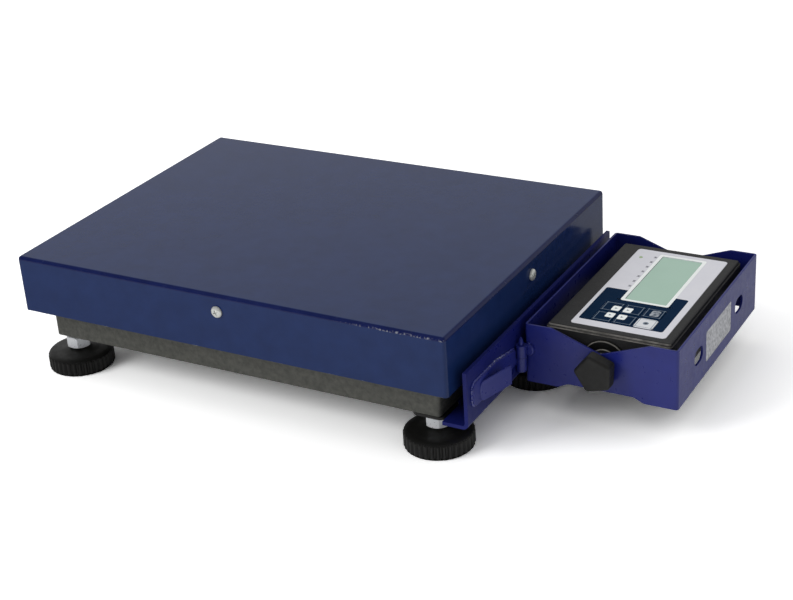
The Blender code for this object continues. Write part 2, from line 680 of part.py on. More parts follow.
def build_base(parent):
    """The folded channel ring, the beam across it and the gland of the load cell lead."""
    bm = box((-BASE_HALF_X, -BASE_HALF_Y, BASE_BOTTOM), (BASE_HALF_X, BASE_HALF_Y, BASE_TOP))
    outer = list(bm.edges)
    for direction in ((0, 0, 1), (0, 0, -1)):
        face = faces_towards(bm, direction)
        bmesh.ops.inset_region(bm, faces=face, thickness=BASE_FLANGE, use_even_offset=True)
        bmesh.ops.delete(bm, geom=face, context="FACES")
    outer = [edge for edge in outer if edge.is_valid]
    bmesh.ops.bevel(bm, geom=outer, offset=BASE_BEND, segments=BEND_STEPS, profile=0.5, affect="EDGES")
    base = thicken(add_piece("base_frame", bm, GREY_PAINT, parent), BASE_SHEET)
    holes = []
    for side_x in (-1, 1):
        for side_y in (-1, 1):
            x = side_x * FOOT_X
            y = side_y * FOOT_Y
            low = BASE_BOTTOM - BASE_SHEET
            holes.append(rod((x, y, low), (x, y, BASE_MIDDLE), STUD_RADIUS + HOLE_CLEARANCE))
    for x, y in stop_places():
        high = BASE_TOP + BASE_SHEET
        holes.append(rod((x, y, BASE_MIDDLE), (x, y, high), STOP_RADIUS + HOLE_CLEARANCE, 12))
    inside = (BASE_HALF_X - 2 * BASE_SHEET, GLAND_Y, BASE_MIDDLE)
    outside = (BASE_HALF_X + BASE_SHEET, GLAND_Y, BASE_MIDDLE)
    holes.append(rod(inside, outside, GLAND_THREAD_RADIUS + HOLE_CLEARANCE))
    add_boolean(base, [join(*holes)], "DIFFERENCE", parent)

    beam_reach = BASE_HALF_Y - BASE_BEND
    low = (-CELL_END_X - BEAM_WIDTH / 2, -beam_reach, BEAM_BOTTOM)
    high = (-CELL_END_X + BEAM_WIDTH / 2, beam_reach, BEAM_TOP)
    bm = box(low, high)
    for direction in ((0, 0, -1), (0, 1, 0), (0, -1, 0)):
        open_side(bm, direction)
    round_edges(bm, BEAM_BEND, any_edge)
    beam = thicken(add_piece("base_beam", bm, GREY_PAINT, parent), BEAM_SHEET)
    holes = bolt_holes(-CELL_END_X, BEAM_TOP - 2 * BEAM_SHEET, BEAM_TOP + BEAM_SHEET)
    add_boolean(beam, [join(*holes)], "DIFFERENCE", parent)

    gland = add_piece("base_gland", turned(gland_profile(BASE_SHEET), ROUND_SIDES), BLACK_PLASTIC, parent)
    gland.location = (BASE_HALF_X, GLAND_Y, BASE_MIDDLE)
    gland.rotation_euler = (0.0, math.pi / 2, 0.0)


def gland_profile(wall):
    """Half section of a cable gland whose thread passes through a wall of the given thickness."""
    return [
        (GLAND_BORE_RADIUS, GLAND_LENGTH),
        (GLAND_RADIUS * 0.62, GLAND_LENGTH),
        (GLAND_RADIUS * 0.9, GLAND_LENGTH * 0.75),
        (GLAND_RADIUS, GLAND_LENGTH * 0.5),
        (GLAND_RADIUS, FIT_GAP),
        (GLAND_THREAD_RADIUS, FIT_GAP),
        (GLAND_THREAD_RADIUS, -2 * wall),
        (GLAND_BORE_RADIUS, -2 * wall),
        (GLAND_BORE_RADIUS, GLAND_LENGTH),
    ]


def stop_places():
    """Places of the overload stops, on the long rails of the base."""
    x = BASE_HALF_X - STOP_INSET_X
    y = BASE_HALF_Y - STOP_INSET_Y / 2
    return [(-x, -y), (x, -y), (-x, y), (x, y)]


def build_overload_stops(parent):
    """Stop screws with lock nuts that stand on the base, just short of the upper frame."""
    foot = BASE_TOP - STOP_TAIL
    tip = FRAME_UNDER - STOP_TRAVEL
    nut_low = BASE_TOP + FIT_GAP
    nut = rod((0, 0, nut_low), (0, 0, nut_low + STOP_NUT_HEIGHT), STOP_NUT_RADIUS, 6)
    names = ("front_left", "front_right", "back_left", "back_right")
    first = None
    for name, (x, y) in zip(names, stop_places()):
        if first is None:
            first = add_piece(f"overload_stop_{name}", nut, ZINC, parent)
            add_boolean(first, [rod((0, 0, foot), (0, 0, tip), STOP_RADIUS, 12)], "UNION", parent)
            settle(first)
            first.location = (x, y, 0.0)
        else:
            add_copy(f"overload_stop_{name}", first, parent, (x, y, 0.0))


def disc_blank():
    """A levelling disc with a ribbed rim and a blind hole for its stud."""
    bore = STUD_RADIUS + FIT_GAP
    wall_top = DISC_CHAMFER / 2 + DISC_WALL
    profile = [
        (0.0, DISC_FLOOR),
        (bore, DISC_FLOOR),
        (bore, DISC_HEIGHT),
        (DISC_HUB_RADIUS, DISC_HEIGHT),
        (DISC_BOSS_RADIUS, wall_top + DISC_CHAMFER),
        (DISC_RADIUS - DISC_CHAMFER, wall_top + DISC_CHAMFER / 2),
        (DISC_RADIUS, wall_top - DISC_CHAMFER / 2),
        (DISC_RADIUS, DISC_CHAMFER / 2),
        (DISC_RADIUS - DISC_CHAMFER / 2, 0.0),
        (0.0, 0.0),
    ]
    bm = turned(profile, DISC_SPOKES)
    for vert in bm.verts:
        reach = math.hypot(vert.co.x, vert.co.y)
        spoke = round(math.atan2(vert.co.y, vert.co.x) / (2 * math.pi) * DISC_SPOKES)
        if reach > DISC_RADIUS - DISC_CHAMFER / 4 and spoke % 2:
            shrink = 1.0 - DISC_RIB_DEPTH / reach
            vert.co.x *= shrink
            vert.co.y *= shrink
    return bm


def build_feet(parent):
    """Four corner feet and the support foot under the side bracket."""
    places = {
        "front_left": (-FOOT_X, -FOOT_Y, STUD_TOP),
        "front_right": (FOOT_X, -FOOT_Y, STUD_TOP),
        "back_left": (-FOOT_X, FOOT_Y, STUD_TOP),
        "back_right": (FOOT_X, FOOT_Y, STUD_TOP),
        "support": (SUPPORT_FOOT_X, SUPPORT_FOOT_Y, SIDE_FLANGE_TOP + SUPPORT_STUD_RISE),
    }
    first = None
    for name, (x, y, top) in places.items():
        axis = add_empty(f"foot_axis_{name}", (x, y, 0.0), parent)
        if first is None:
            first = add_piece(f"foot_disc_{name}", disc_blank(), BLACK_PLASTIC, axis)
        else:
            add_copy(f"foot_disc_{name}", first, axis, (0.0, 0.0, 0.0))
        profile = [
            (0.0, top),
            (STUD_RADIUS - STUD_CHAMFER, top),
            (STUD_RADIUS, top - STUD_CHAMFER),
            (STUD_RADIUS, DISC_FLOOR + FIT_GAP),
            (0.0, DISC_FLOOR + FIT_GAP),
        ]
        add_piece(f"foot_stud_{name}", turned(profile, ROUND_SIDES), ZINC, axis)


def build_side_bracket(parent):
    """The L-section plate under the base's right-hand flange, notched clear of the corner feet."""
    inner_bend = SIDE_BEND - SIDE_SHEET
    flange_edge = SIDE_OUTER_X - SIDE_FLANGE
    top = SIDE_BOTTOM + SIDE_HEIGHT
    bend = (SIDE_OUTER_X - SIDE_BEND, SIDE_BOTTOM + SIDE_BEND)
    outline = [(flange_edge, SIDE_BOTTOM)]
    outline += arc(bend, SIDE_BEND, 1.5 * math.pi, 2 * math.pi, 4)
    outline += [(SIDE_OUTER_X, top), (SIDE_INNER_X, top)]
    outline += arc(bend, inner_bend, 2 * math.pi, 1.5 * math.pi, 4)
    outline += [(flange_edge, SIDE_FLANGE_TOP)]
    half = SIDE_LENGTH / 2
    side = add_piece("side_bracket", plate([outline], "XZ", -half, half), BLUE_PAINT, parent)

    collar_radius = STUD_RADIUS + HOLE_CLEARANCE + SUPPORT_COLLAR_WALL
    collar_low = (SUPPORT_FOOT_X, SUPPORT_FOOT_Y, SIDE_BOTTOM + SIDE_SHEET / 2)
    collar_high = (SUPPORT_FOOT_X, SUPPORT_FOOT_Y, SIDE_FLANGE_TOP + SUPPORT_COLLAR_HEIGHT)
    add_boolean(side, [rod(collar_low, collar_high, collar_radius)], "UNION", parent)

    slot_low = SIDE_BOTTOM - SIDE_SHEET
    slot_high = SIDE_FLANGE_TOP + SIDE_SHEET
    bore_top = SIDE_FLANGE_TOP + SUPPORT_COLLAR_HEIGHT + SIDE_SHEET
    tab_edge = SIDE_OUTER_X - SIDE_TAB
    notch_end = FOOT_Y - SIDE_NOTCH_MARGIN
    past_edge = flange_edge - SIDE_SHEET
    past_end = half + SIDE_SHEET
    corner = (tab_edge - SIDE_NOTCH_CORNER, notch_end + SIDE_NOTCH_CORNER)
    notch = arc(corner, SIDE_NOTCH_CORNER, 1.5 * math.pi, 2 * math.pi, 4)
    notch += [(tab_edge, past_end), (past_edge, past_end), (past_edge, notch_end)]
    mirrored = [(x, -y) for x, y in reversed(notch)]
    cuts = [plate([notch], "XY", slot_low, slot_high), plate([mirrored], "XY", slot_low, slot_high)]
    centre = (SUPPORT_FOOT_X, SUPPORT_FOOT_Y)
    cuts.append(rod((*centre, slot_low), (*centre, bore_top), STUD_RADIUS + HOLE_CLEARANCE))
    add_boolean(side, [join(*cuts)], "DIFFERENCE", parent)


def build_hinge(parent, swing):
    """The lift-off hinge: a flat leaf with a bent tongue and the lower knuckle, a pin and the bracket's leaf."""
    strap_end = HINGE_Y - STRAP_REACH
    strap_start = strap_end - STRAP_LENGTH
    near = SIDE_OUTER_X + FIT_GAP
    outline = [
        (near, strap_start),
        (near + STRAP_SHEET, strap_start),
        (near + STRAP_SHEET + STRAP_LEAN, strap_end),
        (near + STRAP_LEAN, strap_end),
    ]
    bm = plate([outline], "XY", STRAP_BOTTOM, STRAP_BOTTOM + STRAP_HEIGHT)
    bmesh.ops.dissolve_limit(bm, angle_limit=0.01, verts=bm.verts, edges=bm.edges)
    ends = [edge for edge in bm.edges if all(vert.co.y < strap_start + FIT_GAP for vert in edge.verts)]
    ends = [edge for edge in ends if abs(edge.verts[0].co.x - edge.verts[1].co.x) > STRAP_SHEET / 2]
    bmesh.ops.bevel(bm, geom=ends, offset=STRAP_CORNER, segments=BEND_STEPS, profile=0.5, affect="EDGES")
    leaf = add_piece("hinge_leaf_fixed", bm, BLUE_PAINT, parent)
    start = strap_start - STRAP_FOOT
    lower = HINGE_MIDDLE - FIT_GAP
    stop = HINGE_Y - KNUCKLE_RADIUS - 3 * FIT_GAP
    bottom = STRAP_BOTTOM + FIT_GAP
    radius = STRAP_FOOT_CORNER
    foot = [(HINGE_Y, bottom), (HINGE_Y, lower), (stop, lower), (stop, STRAP_FOOT_TOP - STRAP_SLOPE_DROP)]
    foot += [(HINGE_Y - STRAP_SLOPE_START, STRAP_FOOT_TOP)]
    foot += arc((start + radius, STRAP_FOOT_TOP - radius), radius, 0.5 * math.pi, math.pi, 3)
    foot += arc((start + radius, bottom + radius), radius, math.pi, 1.5 * math.pi, 3)
    foot_plate = plate([foot], "YZ", near, near + STRAP_FOOT_SHEET)
    knuckle = rod((HINGE_X, HINGE_Y, HINGE_BOTTOM), (HINGE_X, HINGE_Y, HINGE_MIDDLE), KNUCKLE_RADIUS)
    bore_low = (HINGE_X, HINGE_Y, HINGE_BOTTOM - KNUCKLE_RADIUS)
    bore_high = (HINGE_X, HINGE_Y, HINGE_MIDDLE + KNUCKLE_RADIUS)
    add_boolean(leaf, [foot_plate, knuckle], "UNION", parent)
    add_boolean(leaf, [rod(bore_low, bore_high, PIN_BORE_RADIUS, 12)], "DIFFERENCE", parent)

    shaft_top = HINGE_MIDDLE + FIT_GAP + KNUCKLE_HEIGHT + PIN_RADIUS
    profile = [
        (0.0, shaft_top + PIN_TIP),
        (PIN_RADIUS * 0.3, shaft_top + PIN_TIP * 0.9),
        (PIN_RADIUS, shaft_top),
        (PIN_RADIUS, HINGE_BOTTOM - FIT_GAP),
        (KNUCKLE_RADIUS, HINGE_BOTTOM - FIT_GAP),
        (KNUCKLE_RADIUS, HINGE_BOTTOM - PIN_HEAD_HEIGHT),
        (0.0, HINGE_BOTTOM - PIN_HEAD_HEIGHT),
    ]
    add_piece("hinge_pin", turned(profile, 12), ZINC, parent, (HINGE_X, HINGE_Y, 0.0))

    low = HINGE_MIDDLE + FIT_GAP
    high = low + KNUCKLE_HEIGHT
    face = HINGE_SETBACK - FIT_GAP
    tab = box((0.0, face - LEAF_SHEET, low), (LEAF_LENGTH, face, high))
    moving = add_piece("hinge_leaf_moving", tab, BLUE_PAINT, swing)
    add_boolean(moving, [rod((0, 0, low), (0, 0, high), KNUCKLE_RADIUS)], "UNION", swing)
    bore = rod((0, 0, low - KNUCKLE_RADIUS), (0, 0, high + KNUCKLE_RADIUS), PIN_BORE_RADIUS, 12)
    add_boolean(moving, [bore], "DIFFERENCE", swing)


def build_indicator_bracket(swing):
    """The folded ring with V-cut cheeks, raised lower edges and two slots in its end."""
    low_x = BRACKET_X0 - HINGE_X
    high_x = BRACKET_X1 - HINGE_X
    low_y = BRACKET_Y0 - HINGE_Y
    high_y = BRACKET_Y1 - HINGE_Y
    bm = box((low_x, low_y, BRACKET_BOTTOM), (high_x, high_y, BRACKET_TOP))
    open_side(bm, (0, 0, 1))
    open_side(bm, (0, 0, -1))
    round_edges(bm, BRACKET_BEND, is_upright)
    bracket = thicken(add_piece("indicator_bracket", bm, BLUE_PAINT, swing), BRACKET_SHEET)

    middle = PIVOT_X - HINGE_X
    over = BRACKET_TOP + BRACKET_SHEET
    flare = VEE_WIDTH / 2 * (1 + BRACKET_SHEET / VEE_DEPTH)
    vee = [(middle - flare, over), (middle, BRACKET_TOP - VEE_DEPTH), (middle + flare, over)]
    under = BRACKET_BOTTOM - BRACKET_SHEET
    notch = [
        (middle - NOTCH_BOTTOM_WIDTH / 2, under),
        (middle + NOTCH_BOTTOM_WIDTH / 2, under),
        (middle + NOTCH_TOP_WIDTH / 2, BRACKET_BOTTOM + NOTCH_HEIGHT),
        (middle - NOTCH_TOP_WIDTH / 2, BRACKET_BOTTOM + NOTCH_HEIGHT),
    ]
    start = low_y - BRACKET_SHEET
    end = high_y + BRACKET_SHEET
    pivot = rod((middle, start, PIVOT_Z), (middle, end, PIVOT_Z), PIVOT_BORE_RADIUS)
    cuts = [plate([vee], "XZ", start, end), plate([notch], "XZ", start, end), pivot]
    for side in (-1, 1):
        y = PIVOT_Y - HINGE_Y + side * END_SLOT_SPACING / 2
        low = (y - END_SLOT_LENGTH / 2, END_SLOT_Z - END_SLOT_HEIGHT / 2)
        high = (y + END_SLOT_LENGTH / 2, END_SLOT_Z + END_SLOT_HEIGHT / 2)
        outline = rounded_rectangle(low, high, END_SLOT_HEIGHT / 2 - FIT_GAP)
        cuts.append(plate([outline], "YZ", high_x - 2 * BRACKET_SHEET, high_x + BRACKET_SHEET))
    add_boolean(bracket, [join(*cuts)], "DIFFERENCE", swing)


def knob_outline(sides, radius, corner, turn):
    """A polygon with rounded corners."""
    points = []
    spread = math.pi / sides
    inner = radius - corner / math.cos(spread)
    for number in range(sides):
        angle = turn + 0.5 * math.pi + 2 * number * spread
        centre = (inner * math.cos(angle), inner * math.sin(angle))
        points += arc(centre, corner, angle - spread, angle + spread, 3)
    return points


def build_knob(swing, name, side, outline, hub, hub_height, height, chamfer, cap):
    """One turning head with its round hub and stud on the tilt axis."""
    axis = add_empty(f"knob_axis_{name}", (PIVOT_X - HINGE_X, PIVOT_Y - HINGE_Y, PIVOT_Z), swing)
    face = KNOB_BACK + hub_height
    front = face + height
    low, high = sorted((side * face, side * front))
    bm = plate([outline], "XZ", low, high)
    bmesh.ops.dissolve_limit(bm, angle_limit=0.01, verts=bm.verts, edges=bm.edges)
    rim = [edge for edge in bm.edges if all(abs(v.co.y - side * front) < FIT_GAP for v in edge.verts)]
    bmesh.ops.bevel(bm, geom=rim, offset=chamfer, segments=2, profile=0.5, affect="EDGES")
    knob = add_piece(f"tilt_knob_{name}", bm, BLACK_PLASTIC, axis)
    hub_rod = rod((0, side * KNOB_BACK, 0), (0, side * (face + cap), 0), hub)
    add_boolean(knob, [hub_rod], "UNION", axis)
    blind = front - cap
    bore = rod((0, side * CHEEK_INNER, 0), (0, side * blind, 0), PIVOT_BORE_RADIUS)
    add_boolean(knob, [bore], "DIFFERENCE", axis)
    tail = INDICATOR_HALF_Y - PIVOT_STUD_INSIDE
    stud = rod((0, side * tail, 0), (0, side * (blind - FIT_GAP), 0), PIVOT_STUD_RADIUS)
    add_piece(f"knob_stud_{name}", stud, ZINC, axis)


def build_knobs(swing):
    """The front hand knob and the back hexagon head, which clamp the indicator and let it tilt."""
    knob = knob_outline(KNOB_SIDES, KNOB_RADIUS, KNOB_CORNER, KNOB_TURN)
    build_knob(swing, "front", -1, knob, KNOB_HUB_RADIUS, KNOB_HUB_HEIGHT, KNOB_HEIGHT, KNOB_CHAMFER, KNOB_CAP)
    head = knob_outline(HEAD_SIDES, HEAD_RADIUS, HEAD_CORNER, 0.0)
    build_knob(swing, "back", 1, head, HEAD_WASHER_RADIUS, HEAD_WASHER_HEIGHT, HEAD_HEIGHT, HEAD_CHAMFER, HEAD_CAP)


def build_pivot_discs(tilt):
    """Round friction discs with a raised boss between the indicator's ends and the cheeks."""
    thickness = CHEEK_INNER - INDICATOR_HALF_Y - 2 * FIT_GAP
    profile = [
        (PIVOT_BORE_RADIUS, thickness),
        (PIVOT_BOSS_RADIUS - FIT_GAP, thickness),
        (PIVOT_BOSS_RADIUS, thickness - FIT_GAP),
        (PIVOT_BOSS_RADIUS, PIVOT_DISC_SHEET),
        (PIVOT_DISC_RADIUS - FIT_GAP, PIVOT_DISC_SHEET),
        (PIVOT_DISC_RADIUS, PIVOT_DISC_SHEET - FIT_GAP),
        (PIVOT_DISC_RADIUS, 0.0),
        (PIVOT_BORE_RADIUS, 0.0),
        (PIVOT_BORE_RADIUS, thickness),
    ]
    for name, side in (("front", -1), ("back", 1)):
        disc = add_piece(f"pivot_disc_{name}", turned(profile, FINE_SIDES), BLACK_PLASTIC, tilt)
        disc.location = (0.0, side * (INDICATOR_HALF_Y + FIT_GAP), 0.0)
        disc.rotation_euler = (-side * math.pi / 2, 0.0, 0.0)


def key_places():
    """Name and centre of each key, by the reader's rows and columns."""
    places = {}
    for row, step in (("top", 1), ("middle", 0), ("bottom", -1)):
        for column, side in (("left", 0.5), ("right", -0.5)):
            x = KEY_MIDDLE_X + step * KEY_PITCH_X
            y = KEY_MIDDLE_Y + side * KEY_PITCH_Y
            places[f"{row}_{column}"] = (x, y)
    return places


def key_outline(centre, growth):
    """A key's rounded square, grown by a clearance."""
    half = KEY_SIZE / 2 + growth
    low = (centre[0] - half, centre[1] - half)
    high = (centre[0] + half, centre[1] + half)
    return rounded_rectangle(low, high, KEY_CORNER + growth, 3)


def window_outline(growth):
    """The display window, grown by a margin."""
    low = (WINDOW_X - WINDOW_DEPTH / 2 - growth, WINDOW_Y - WINDOW_WIDTH / 2 - growth)
    high = (WINDOW_X + WINDOW_DEPTH / 2 + growth, WINDOW_Y + WINDOW_WIDTH / 2 + growth)
    return low, high


def overlay_outline(growth):
    """The foil's outline, grown by a clearance."""
    low = (OVERLAY_X - OVERLAY_DEPTH / 2 - growth, -OVERLAY_WIDTH / 2 - growth)
    high = (OVERLAY_X + OVERLAY_DEPTH / 2 + growth, OVERLAY_WIDTH / 2 + growth)
    return rounded_rectangle(low, high, OVERLAY_CORNER)


def build_indicator(tilt):
    """The indicator's shells, foil, display, keys, board, battery and gland."""
    half = INDICATOR_HALF_Y
    bm = box((INDICATOR_LOW_X, -half, UPPER_BOTTOM), (INDICATOR_HIGH_X, half, UPPER_TOP))
    open_side(bm, (0, 0, -1))
    round_edges(bm, HOUSING_ROUND, any_edge)
    upper = thicken(add_piece("indicator_upper", bm, CHARCOAL, tilt), HOUSING_WALL)
    recess = plate([overlay_outline(FIT_GAP)], "XY", OVERLAY_FLOOR, UPPER_TOP + HOUSING_WALL)
    below = UPPER_UNDER - HOUSING_WALL
    low, high = window_outline(0.0)
    through = [plate([[low, (high[0], low[1]), high, (low[0], high[1])]], "XY", below, UPPER_TOP)]
    for centre in key_places().values():
        through.append(plate([key_outline(centre, HOLE_CLEARANCE)], "XY", below, UPPER_TOP))
    add_boolean(upper, [recess, join(*through)], "DIFFERENCE", tilt)

    lower_low_x = INDICATOR_LOW_X + LOWER_INSET
    lower_high_x = INDICATOR_HIGH_X - LOWER_INSET
    spare = LOWER_TOP + HOUSING_WALL
    bm = box((lower_low_x, -half, LOWER_UNDER), (lower_high_x, half, spare))
    for vert in bm.verts:
        if vert.co.z < LOWER_UNDER + FIT_GAP:
            vert.co.x += LOWER_TAPER if vert.co.x < 0 else -LOWER_TAPER
    open_side(bm, (0, 0, 1))
    round_edges(bm, HOUSING_ROUND, any_edge)
    lower = thicken(add_piece("indicator_lower", bm, CHARCOAL, tilt), HOUSING_WALL)
    bore = rod((0, -half - HOUSING_WALL, 0), (0, half + HOUSING_WALL, 0), PIVOT_BORE_RADIUS)
    lead_y = half / 2
    lead = rod(
        (INDICATOR_SHIFT, lead_y, LOWER_UNDER - HOUSING_WALL),
        (INDICATOR_SHIFT, lead_y, LOWER_UNDER + 2 * HOUSING_WALL),
        GLAND_THREAD_RADIUS + HOLE_CLEARANCE,
    )
    trim = box((INDICATOR_LOW_X, -half - HOUSING_WALL, LOWER_TOP), (INDICATOR_HIGH_X, half + HOUSING_WALL, spare * 2))
    add_boolean(lower, [join(bore, lead, trim)], "DIFFERENCE", tilt)
    gland = add_piece("indicator_gland", turned(gland_profile(HOUSING_WALL), ROUND_SIDES), BLACK_PLASTIC, tilt)
    gland.location = (INDICATOR_SHIFT, lead_y, LOWER_UNDER)
    gland.rotation_euler = (math.pi, 0.0, 0.0)

    loops = [overlay_outline(0.0), [low, (high[0], low[1]), high, (low[0], high[1])]]
    loops += [key_outline(centre, HOLE_CLEARANCE) for centre in key_places().values()]
    add_piece("overlay", plate(loops, "XY", OVERLAY_FLOOR + FIT_GAP, OVERLAY_TOP), FOIL, tilt)

    low, high = window_outline(LCD_BORDER)
    add_piece("lcd_module", box((*low, LCD_TOP - LCD_HEIGHT), (*high, LCD_TOP)), DISPLAY, tilt)
    edge = HOUSING_WALL + BOARD_MARGIN
    board_low = (INDICATOR_LOW_X + edge, -half + edge, BOARD_TOP - BOARD_THICKNESS)
    board_high = (INDICATOR_HIGH_X - edge, half - edge, BOARD_TOP)
    add_piece("circuit_board", box(board_low, board_high), BOARD_GREEN, tilt)
    floor = LOWER_UNDER + HOUSING_WALL + FIT_GAP
    battery_low = (INDICATOR_SHIFT - BATTERY_DEPTH / 2, -half + edge + PIVOT_STUD_INSIDE, floor)
    battery_high = (INDICATOR_SHIFT + BATTERY_DEPTH / 2, battery_low[1] + BATTERY_WIDTH, floor + BATTERY_HEIGHT)
    add_piece("battery_pack", box(battery_low, battery_high), BLACK_PLASTIC, tilt)

    key_top = OVERLAY_TOP + KEY_PROUD
    for name, centre in key_places().items():
        finish = KEY_WHITE if name == "top_right" else KEY_NAVY
        outline = key_outline((0.0, 0.0), 0.0)
        bm = plate([outline], "XY", 0.0, key_top - KEY_BOTTOM)
        add_piece(f"key_{name}", bm, finish, tilt, (*centre, KEY_BOTTOM))


def main():
    """Builds every piece under the root empty, with an empty on each joint axis."""
    root = add_empty("scale_root", (-ORIGIN_X, -ORIGIN_Y, 0.0))
    swing = add_empty("swing_axis", (HINGE_X, HINGE_Y, 0.0), root)
    tilt = add_empty("tilt_axis", (PIVOT_X - HINGE_X, PIVOT_Y - HINGE_Y, PIVOT_Z), swing)
    build_pan(root)
    build_upper_frame(root)
    build_load_cell(root)
    build_base(root)
    build_overload_stops(root)
    build_feet(root)
    build_side_bracket(root)
    build_hinge(root, swing)
    build_indicator_bracket(swing)
    build_knobs(swing)
    build_pivot_discs(tilt)
    build_indicator(tilt)


main()
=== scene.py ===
"""Looks of the platform shipping scale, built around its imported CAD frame.

Lengths are metres in the frame of the CAD model: +X from the pan to the indicator, +Y to the back, +Z up.
Each sub-assembly is a class whose build method models its pieces, dresses them and sets them on their bodies.
"""
from __future__ import annotations

import json
import logging
import math
from dataclasses import dataclass, replace
from enum import Enum
from typing import Callable, Iterable, Sequence

import bmesh
import bpy
from mathutils import Matrix, Vector

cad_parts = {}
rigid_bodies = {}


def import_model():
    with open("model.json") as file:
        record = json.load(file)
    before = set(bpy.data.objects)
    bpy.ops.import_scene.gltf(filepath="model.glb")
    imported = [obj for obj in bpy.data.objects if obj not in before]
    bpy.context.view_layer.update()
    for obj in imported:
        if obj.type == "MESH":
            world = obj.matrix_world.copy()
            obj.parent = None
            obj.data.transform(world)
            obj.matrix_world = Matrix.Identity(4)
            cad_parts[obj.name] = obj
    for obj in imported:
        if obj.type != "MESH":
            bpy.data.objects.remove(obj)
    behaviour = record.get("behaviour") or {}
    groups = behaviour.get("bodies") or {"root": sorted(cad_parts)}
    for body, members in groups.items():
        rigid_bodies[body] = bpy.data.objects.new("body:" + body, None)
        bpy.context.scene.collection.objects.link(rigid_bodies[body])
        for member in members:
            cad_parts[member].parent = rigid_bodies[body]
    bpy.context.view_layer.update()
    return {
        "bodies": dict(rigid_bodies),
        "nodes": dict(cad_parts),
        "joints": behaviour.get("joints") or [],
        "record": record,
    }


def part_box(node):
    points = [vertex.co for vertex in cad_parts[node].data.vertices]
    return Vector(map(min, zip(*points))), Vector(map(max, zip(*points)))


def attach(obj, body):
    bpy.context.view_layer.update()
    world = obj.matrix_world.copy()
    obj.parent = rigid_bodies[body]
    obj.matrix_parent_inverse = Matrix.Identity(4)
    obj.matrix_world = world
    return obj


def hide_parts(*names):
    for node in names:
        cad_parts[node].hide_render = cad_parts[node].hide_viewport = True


Point = Sequence[float]
Pair = tuple[float, float]
Outline = list[Pair]
Colour = tuple[int, int, int]
Box = tuple[Vector, Vector]
Test = Callable[[Vector, Vector], bool]
Socket = bpy.types.NodeSocket

LOG = logging.getLogger("scale")
QUARTER_TURN = math.pi / 2
FULL_TURN = 2 * math.pi
# A direction whose share along an axis is above these runs along that axis, or straight along it.
ALONG = 0.9
STRAIGHT_ALONG = 0.99
# Widths of the break on the edges of a piece, from the smallest pieces to the sheets.
SMALL_BREAK = 0.0002
FINE_BREAK = 0.0003
BROAD_BREAK = 0.0004
# How far a print stands out of the foil under it.
PRINT_LIFT = 0.00004
# Spacing of a weld's lumps in radii, and share and rate of the waves in their size.
LUMP_SPACING = 1.1
LUMP_WAVES = ((0.22, 2.4), (0.12, 5.3))
# The part of a noise pattern that colour and gloss are spread over.
PATTERN_MIDDLE = (0.3, 0.7)
# Scale and detail of the patterns of a finish. The gloss varies on a finer scale than the mottle.
MOTTLE_DETAIL = 5.0
GLOSS_FINENESS = 3.1
GLOSS_DETAIL = 4.0
RELIEF_DETAIL = 2.0
WEAR_NOISE = (95.0, 6.0)
SCUFF_GLINT_NOISE = (420.0, 2.0)
# Where wear and scuffs start and end in their patterns, and how much bare colour they show. The same specks
# give the painted glints on the welds.
EDGE_LIKENESS = (0.99, 0.86)
WORN_PATCHES = (0.60, 0.68)
WORN_SHARE = 0.8
SCUFF_GLINT_EDGE = (0.0, 0.5)
SCUFF_GLINT_SPECKS = (0.50, 0.66)
SCUFF_GLINT_SHARE = 0.6
# Stretch of brushed lines along X, and how much broader and deeper the slow waves of a peel are.
BRUSH_STRETCH = (1.0, 60.0, 60.0)
WAVE_BREADTH = 9
WAVE_DEPTH = 3


class Pick(Enum):
    """What an edit-mode selection is made of."""

    EDGE = "EDGE"
    FACE = "FACE"


class Plane(Enum):
    """The plane that a flat outline is drawn in, by the axes of its two coordinates and of its level."""

    XY = (0, 1, 2)
    XZ = (0, 2, 1)
    YZ = (1, 2, 0)

    def point(self, a: float, b: float, level: float) -> Vector:
        """The point with two drawn coordinates, at a level across the plane."""
        return Vector([value for axis, value in sorted(zip(self.value, (a, b, level)))])


class Relief(Enum):
    """The small-scale shape of a finish."""

    PEEL = "peel"
    HAMMER = "hammer"
    GRAIN = "grain"
    BRUSHED = "brushed"


def shade(colour: Colour) -> tuple[float, ...]:
    """Turns a display colour into the linear colour of a shader, by the sRGB curve."""
    levels = [level / 255 for level in colour]
    return *(x / 12.92 if x <= 0.04045 else ((x + 0.055) / 1.055) ** 2.4 for x in levels), 1.0


def arc(centre: Point, radius: float, start: float, end: float, steps: int) -> Outline:
    """Points on an arc.

    Args:
        centre: middle of the arc.
        radius: its radius.
        start: first angle in radians.
        end: last angle in radians.
        steps: number of spaces between points.

    Returns:
        The points in order.
    """
    angles = [start + (end - start) * step / steps for step in range(steps + 1)]
    return [(centre[0] + radius * math.cos(a), centre[1] + radius * math.sin(a)) for a in angles]


def polygon(centre: Point, radius: float, sides: int, start: float = 0.0) -> Outline:
    """Corners of a regular polygon."""
    return arc(centre, radius, start, start + FULL_TURN * (sides - 1) / sides, sides - 1)


def rounded(low: Point, high: Point, radius: float, steps: int = 6) -> Outline:
    """A rectangle with round corners.

    Args:
        low: lower corner.
        high: upper corner.
        radius: corner radius.
        steps: number of spaces in each corner.

    Returns:
        The outline, counter-clockwise.
    """
    centres = (
        (high[0] - radius, high[1] - radius),
        (low[0] + radius, high[1] - radius),
        (low[0] + radius, low[1] + radius),
        (high[0] - radius, low[1] + radius),
    )
    points: Outline = []
    for quarter, centre in enumerate(centres):
        start = quarter * QUARTER_TURN
        points += arc(centre, radius, start, start + QUARTER_TURN, steps)
    return points


def pad(centre: Point, half: Point, radius: float, steps: int = 4) -> Outline:
    """A rectangle with round corners about its middle, by its half sizes."""
    (x, y), (wide, tall) = centre, half
    return rounded((x - wide, y - tall), (x + wide, y + tall), radius, steps)


